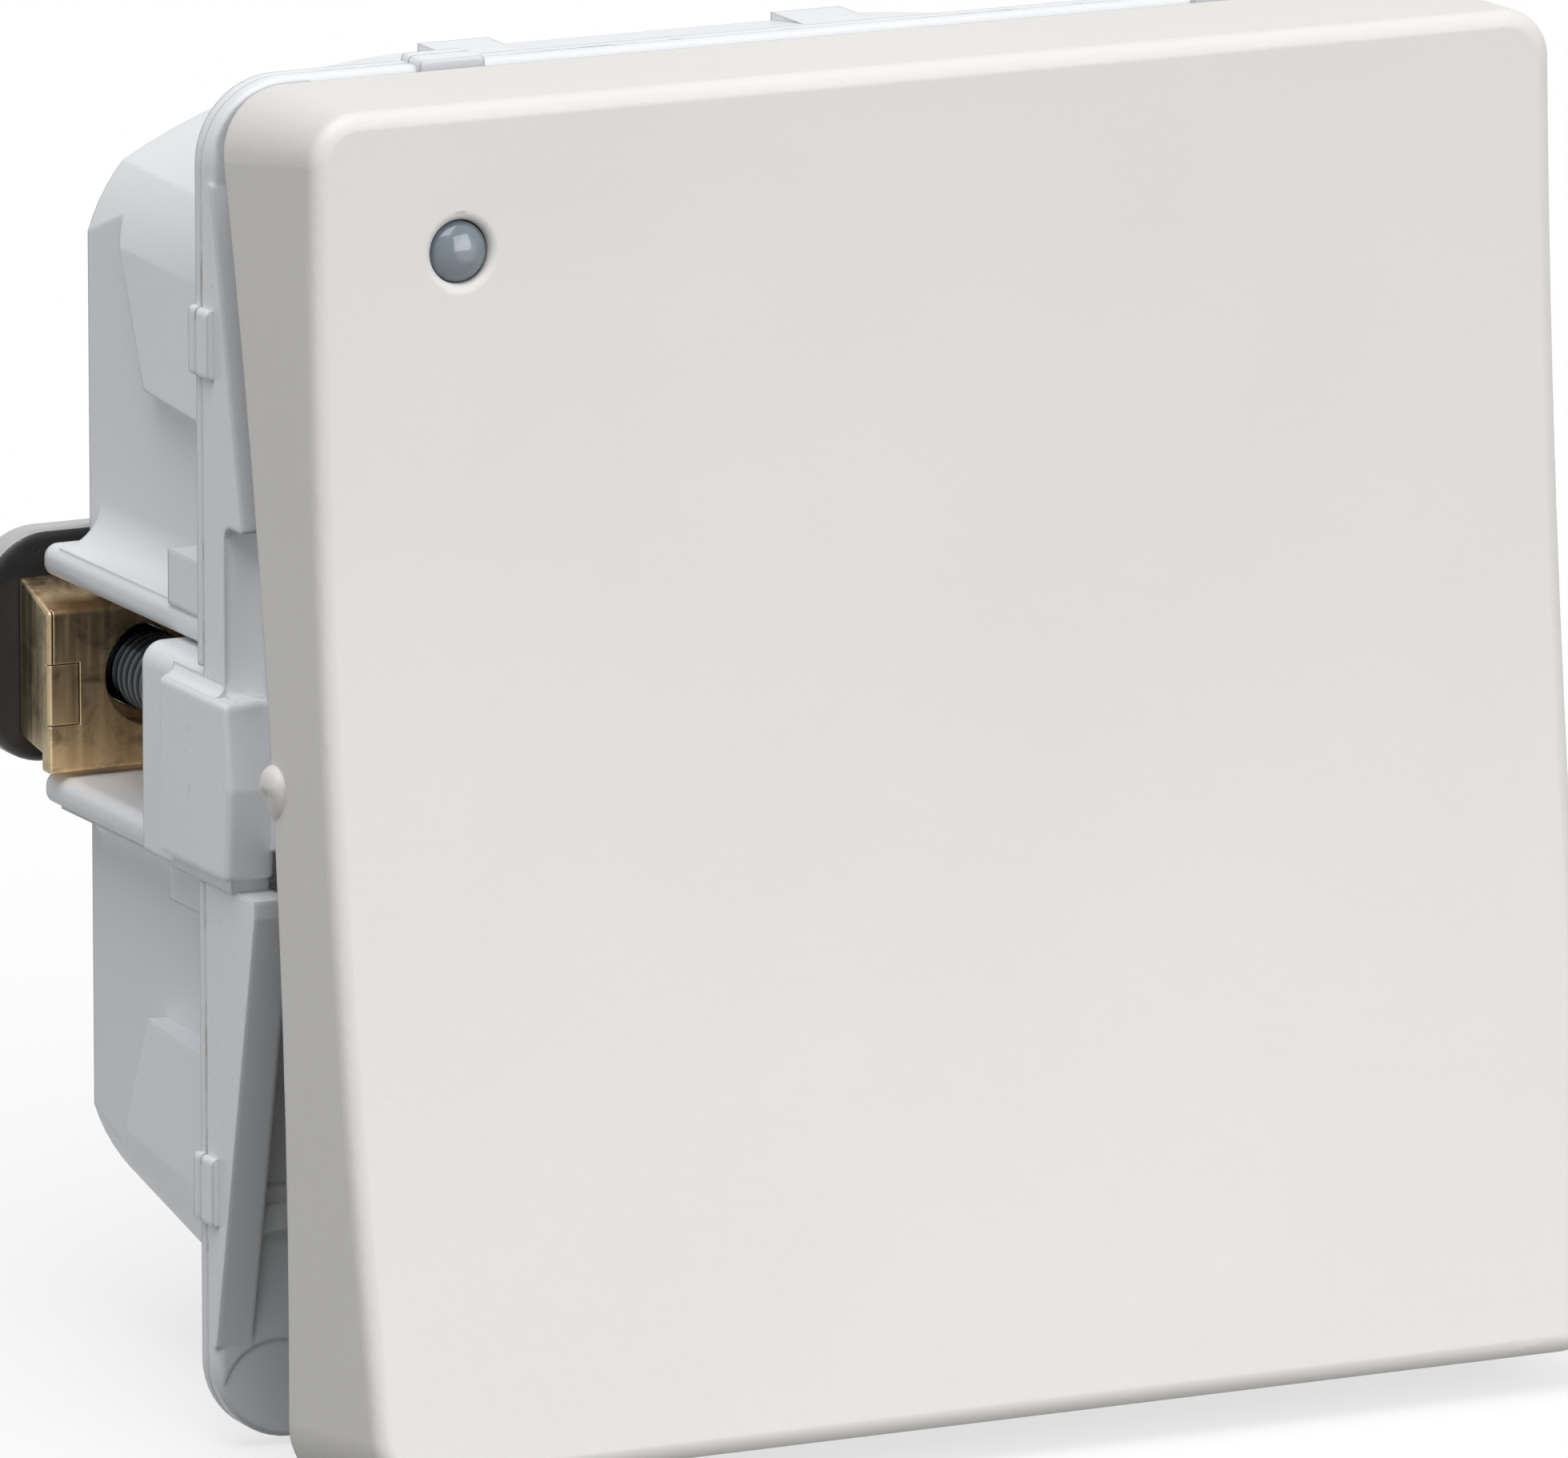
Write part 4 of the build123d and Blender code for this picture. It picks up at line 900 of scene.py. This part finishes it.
def nut_mesh():
    """The folded nut, bored for the screw, with fine seams round the tongue and along the side leaf."""
    low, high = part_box("claw_nut_left")
    folded = [(low.y, low.z), (low.y + nut_lip, low.z), (low.y + nut_lip, low.z + nut_lip_height),
              (high.y, low.z + nut_rear_rise), (high.y, high.z), (low.y, high.z - nut_front_drop)]
    shape = outline_prism(folded, "X", low.x, high.x)
    ease_edges(shape, nut_edge, segments=3)
    outer = low.x - overshoot
    inner = low.x + tongue_reach
    fold = low.x + fold_inset
    seams = [   # left, right, bottom, top
        (outer, inner, tongue_top, tongue_top + seam_width),
        (outer, inner, tongue_bottom - seam_width, tongue_bottom),
        (inner, inner + seam_width, tongue_bottom - seam_width, tongue_top + seam_width),
        (fold, fold + seam_width, tongue_top, high.z + overshoot),
    ]
    cutters = [round_bar(nut_bore, low.y - overshoot, low.y + nut_bore_depth),
               round_bar(nut_thread_bore, low.y, high.y + overshoot)]
    for left, right, bottom, top in seams:
        cutters.append(flat_bar((left, low.y - overshoot, bottom), (right, low.y + seam_depth, top)))
    mesh = cut(mesh_from("nut", shape), cutters)
    # the faces that look to the side are marked for the side leaf's painted shade
    mark_faces(mesh, "shaded_side_leaf", lambda normal: normal.x < shaded_side_facing)
    return mesh


def thread_tree(material):
    """Geometry nodes for a threaded shank along Y: a net wound on the thread's own helix."""
    tree = bpy.data.node_groups.new("threaded_shank", "GeometryNodeTree")
    tree.interface.new_socket("Shank", in_out="INPUT", socket_type="NodeSocketGeometry")
    for label in ("Start", "End", "Axis X", "Pitch", "Major Radius", "Minor Radius", "Tip"):
        tree.interface.new_socket(label, in_out="INPUT", socket_type="NodeSocketFloat")
    for label in ("Rows", "Sides"):
        tree.interface.new_socket(label, in_out="INPUT", socket_type="NodeSocketInt")
    tree.interface.new_socket("Shank", in_out="OUTPUT", socket_type="NodeSocketGeometry")
    size = tree.nodes.new("NodeGroupInput").outputs
    end = tree.nodes.new("NodeGroupOutput")

    def value(operation, *terms):
        return calculate(tree, operation, *terms)

    net = place(tree, "GeometryNodeMeshGrid", {"Size X": 1, "Size Y": 1})
    tree.links.new(size["Sides"], net.inputs["Vertices X"])
    tree.links.new(size["Rows"], net.inputs["Vertices Y"])
    here = place(tree, "ShaderNodeSeparateXYZ")
    tree.links.new(place(tree, "GeometryNodeInputPosition").outputs[0], here.inputs[0])
    round_share = value("ADD", here.outputs["X"], 0.5)
    long_share = value("ADD", here.outputs["Y"], 0.5)
    turn = value("MULTIPLY", round_share, 2 * pi)
    length = value("SUBTRACT", size["End"], size["Start"])
    wound = value("MULTIPLY_ADD", long_share, value("ADD", length, size["Pitch"]),
                  value("MULTIPLY", value("SUBTRACT", round_share, 1.0), size["Pitch"]))
    along = value("MINIMUM", value("MAXIMUM", wound, 0.0), length)
    phase = value("FRACT", value("SUBTRACT", value("DIVIDE", along, size["Pitch"]), round_share))
    slope = value("ABSOLUTE", value("MULTIPLY_ADD", phase, 2.0, -1.0))
    flank = value("MULTIPLY_ADD", slope, thread_flank, -thread_root)
    crest = value("MINIMUM", value("MAXIMUM", flank, 0.0), 1.0)
    depth = value("SUBTRACT", size["Major Radius"], size["Minor Radius"])
    thread = value("MULTIPLY_ADD", crest, depth, size["Minor Radius"])
    tip_radius = value("SUBTRACT", size["Major Radius"], size["Tip"])
    tip = value("ADD", tip_radius, value("SUBTRACT", length, along))
    radius = value("MINIMUM", thread, tip)
    corner = place(tree, "ShaderNodeCombineXYZ")
    for label, coordinate in (
            ("X", value("MULTIPLY_ADD", radius, value("COSINE", turn), size["Axis X"])),
            ("Y", value("ADD", along, size["Start"])),
            ("Z", value("MULTIPLY", radius, value("SINE", turn)))):
        tree.links.new(coordinate, corner.inputs[label])
    bend = place(tree, "GeometryNodeSetPosition")
    tree.links.new(corner.outputs[0], bend.inputs["Position"])
    steps = [net, bend, place(tree, "GeometryNodeMergeByDistance", {"Distance": thread_weld}),
             place(tree, "GeometryNodeRealizeInstances"),
             place(tree, "GeometryNodeSetMaterial", {"Material": material}), end]
    for before, after in zip(steps, steps[1:]):
        tree.links.new(before.outputs[0], after.inputs[0])
    return tree


def grown_mesh(name, tree, **sizes):
    """What a geometry tree makes from its named sizes, as a plain mesh."""
    seed = new_piece(name, bpy.data.meshes.new(name))
    step = seed.modifiers.new("grown", "NODES")
    step.node_group = tree
    sockets = {item.name: item.identifier for item in tree.interface.items_tree if item.in_out == "INPUT"}
    for label, value in sizes.items():
        step[sockets[label.replace("_", " ")]] = value
    mesh = evaluated(seed)
    seed.modifiers.remove(step)
    bpy.data.objects.remove(seed)
    return mesh


def screw_mesh(material):
    """The slotted head, and the threaded shank that runs into it."""
    low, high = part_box("claw_screw_left")
    seat = low.y + screw_head_height
    rows = ceil((high.y - seat + thread_pitch) / thread_pitch * thread_steps)
    shank = grown_mesh(
        "shank", thread_tree(material), Start=high.y - (rows / thread_steps - 1) * thread_pitch,
        End=high.y, Axis_X=claw_axis, Pitch=thread_pitch, Major_Radius=thread_major,
        Minor_Radius=thread_minor, Tip=thread_tip, Rows=rows + 1, Sides=thread_sides + 1)
    shape = bmesh.new()
    shape.from_mesh(shank)
    mend(shape, thread_sliver)
    bmesh.ops.recalc_face_normals(shape, faces=shape.faces)
    head = round_bar(screw_head_radius, low.y, seat, sides=thread_sides)
    ease_edges(head, screw_head_edge, segments=4)
    slot = flat_bar((claw_axis - 2 * screw_head_radius, low.y - overshoot, -screw_slot_width / 2),
                    (claw_axis + 2 * screw_head_radius, low.y + screw_slot_depth, screw_slot_width / 2))
    shape.from_mesh(cut(mesh_from("head", head), [slot]))
    mesh = bpy.data.meshes.new("screw")
    shape.to_mesh(mesh)
    shape.free()
    return mesh


def plate_mesh():
    """A flat plate with two large round corners on its outer side, its edges rounded by blanking."""
    low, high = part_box("claw_plate_left")
    outline = [(high.x, low.z), (high.x, high.z)]
    centre_x = low.x + plate_corner
    for centre_z, first in ((high.z - plate_corner, 90), (low.z + plate_corner, 180)):
        outline += [(centre_x + plate_corner * cos(turn), centre_z + plate_corner * sin(turn))
                    for turn in quarter_turn(plate_corner_steps, first)]
    shape = outline_prism(outline, "Y", low.y, high.y)
    ease_edges(shape, plate_edge, segments=4, sharper_than=radians(60))
    bore = round_bar(plate_bore, low.y - overshoot, high.y + overshoot)
    mesh = cut(mesh_from("plate", shape), [bore])
    # the sheared rim's upward faces are marked for a painted highlight from above
    mark_faces(mesh, "sheared_and_lit_rim", lambda normal: normal.z > lit_rim_upward and abs(normal.y) < lit_rim_forward)
    return mesh


def folded_brass():
    """Folded brass sheet: drawn streaks, dark stains, painted shade as a duller olive on the side leaf and
    as brown towards the top of the front leaf, and a painted highlight on the edges.
    """
    material, tree, end = new_material("nut_brass")
    shader = principled(tree, end, Metallic=1.0)
    wear_and_highlight = use_group(tree, metal_wear_and_edge_highlight, Streak_Scale=3000, Stain_Scale=620, Edge_Radius=0.07 * mm)
    leaf = place(tree, "ShaderNodeAttribute", attribute_name="shaded_side_leaf")
    streaks = spread(tree, wear_and_highlight.outputs["Streaks"], brass_streak_low, brass_streak_high)
    height = on_piece(tree, "ShaderNodeSeparateXYZ").outputs["Z"]
    golden = blend_colours(tree, streaks, (0.78, 0.51, 0.25), (1.0, 0.74, 0.43))
    brown = blend_colours(tree, streaks, (0.50, 0.37, 0.22), (0.76, 0.57, 0.35))
    olive = blend_colours(tree, streaks, (0.27, 0.22, 0.13), (0.50, 0.42, 0.27))
    # painted shade: the front leaf darkens from golden to brown upwards
    front = blend_colours(tree, spread(tree, height, shaded_brown_from, shaded_brown_full), golden, brown)
    # painted shade: the side-facing faces take the darker olive
    tone = blend_colours(tree, leaf.outputs["Fac"], front, olive)
    stains = spread(tree, wear_and_highlight.outputs["Stains"], stain_from, stain_full)
    tone = lay_over(tree, tone, (0.13, 0.10, 0.06), stains, strength=0.6)
    # painted highlight on the rounded edges
    tone = lay_over(tree, tone, (0.90, 0.72, 0.44), wear_and_highlight.outputs["Edges"], strength=0.5)
    dress(tree, shader, tone, uneven(tree, wear_and_highlight.outputs["Streaks"], 0.30, 0.44), wear_and_highlight.outputs["Normal"])
    return material


def make_specks():
    """Small scattered dots, such as paint nibs. Amount is the share of cells that hold one."""
    group, start, end = shader_group(
        "specks", {"Scale": 900, "Amount": 0.1, "Size": 0.25}, {"Mask": "NodeSocketFloat"})
    cells = on_piece(group, "ShaderNodeTexVoronoi")
    group.links.new(start.outputs["Scale"], cells.inputs["Scale"])
    pick = place(group, "ShaderNodeSeparateColor")
    group.links.new(cells.outputs["Color"], pick.inputs[0])
    chosen = calculate(group, "LESS_THAN", pick.outputs[0], start.outputs["Amount"])
    reach = calculate(group, "MULTIPLY", start.outputs["Size"], pick.outputs[1])
    near = calculate(group, "LESS_THAN", cells.outputs["Distance"], reach)
    return give_out(group, end, Mask=calculate(group, "MULTIPLY", chosen, near))


def black_coating():
    """Black coated steel with fine pale nibs, and a light grey on the upward faces of its sheared edge:
    partly bare steel, partly a painted highlight from above.
    """
    material, tree, end = new_material("plate_coating")
    shader = principled(tree, end, IOR=plastic_index)
    wear_and_highlight = use_group(
        tree, metal_wear_and_edge_highlight, Stretch=1.0, Streak_Scale=1800, Streak_Depth=0.4, Edge_Radius=0.35 * mm)
    nibs = use_group(tree, make_specks(), Scale=4200, Amount=0.16, Size=0.42)
    rim = place(tree, "ShaderNodeAttribute", attribute_name="sheared_and_lit_rim")
    tone = blend_colours(tree, wear_and_highlight.outputs["Stains"], (0.030, 0.030, 0.033), (0.046, 0.046, 0.050))
    tone = lay_over(tree, tone, (0.22, 0.23, 0.25), nibs.outputs["Mask"], strength=0.5)
    # painted highlight: the sheared rim's upward faces painted light grey, partly bare steel
    tone = lay_over(tree, tone, (0.58, 0.58, 0.57), rim.outputs["Fac"], strength=0.85)
    dress(tree, shader, tone, uneven(tree, wear_and_highlight.outputs["Streaks"], 0.24, 0.36), wear_and_highlight.outputs["Normal"])
    return material


def screw_steel():
    """Plated steel in a dark tone, with a painted highlight along the thread's crests and on the head,
    which leaves the roots dark.
    """
    material, tree, end = new_material("screw_zinc")
    shader = principled(tree, end, Metallic=1.0)
    wear_and_highlight = use_group(tree, metal_wear_and_edge_highlight, Streak_Depth=0.2)
    x, _, z = on_piece(tree, "ShaderNodeSeparateXYZ").outputs
    aside = calculate(tree, "ADD", calculate(tree, "ABSOLUTE", x), claw_axis)
    squares = calculate(tree, "ADD", calculate(tree, "MULTIPLY", aside, aside),
                        calculate(tree, "MULTIPLY", z, z))
    radius = calculate(tree, "SQRT", squares)
    # painted highlight: the thread's crests and the head are painted brighter
    crest = spread(tree, radius, thread_major - crest_highlight_from, thread_major - crest_highlight_full)
    tone = blend_colours(tree, wear_and_highlight.outputs["Stains"], (0.030, 0.034, 0.038), (0.012, 0.013, 0.015))
    tone = blend_colours(tree, crest, tone, (0.10, 0.11, 0.12))
    dress(tree, shader, tone, uneven(tree, wear_and_highlight.outputs["Streaks"], 0.20, 0.34), wear_and_highlight.outputs["Normal"])
    return material


screw_zinc = screw_steel()
claw_pieces = (
    ("nut", "claw_", "claw_brass", nut_mesh(), folded_brass()),
    ("screw", "claw_screw_", "screw_steel", screw_mesh(screw_zinc), screw_zinc),
    ("plate", "claw_", "claw_black", plate_mesh(), black_coating()))
for side in ("left", "right"):
    for kind, body, slot, mesh, finish in claw_pieces:
        shape = mesh.copy() if side == "left" else turned(mesh)
        piece = new_piece("claw_" + kind + "_worked_" + side, shape, finish)
        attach(piece, body + side)
        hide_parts("claw_" + kind + "_" + side)
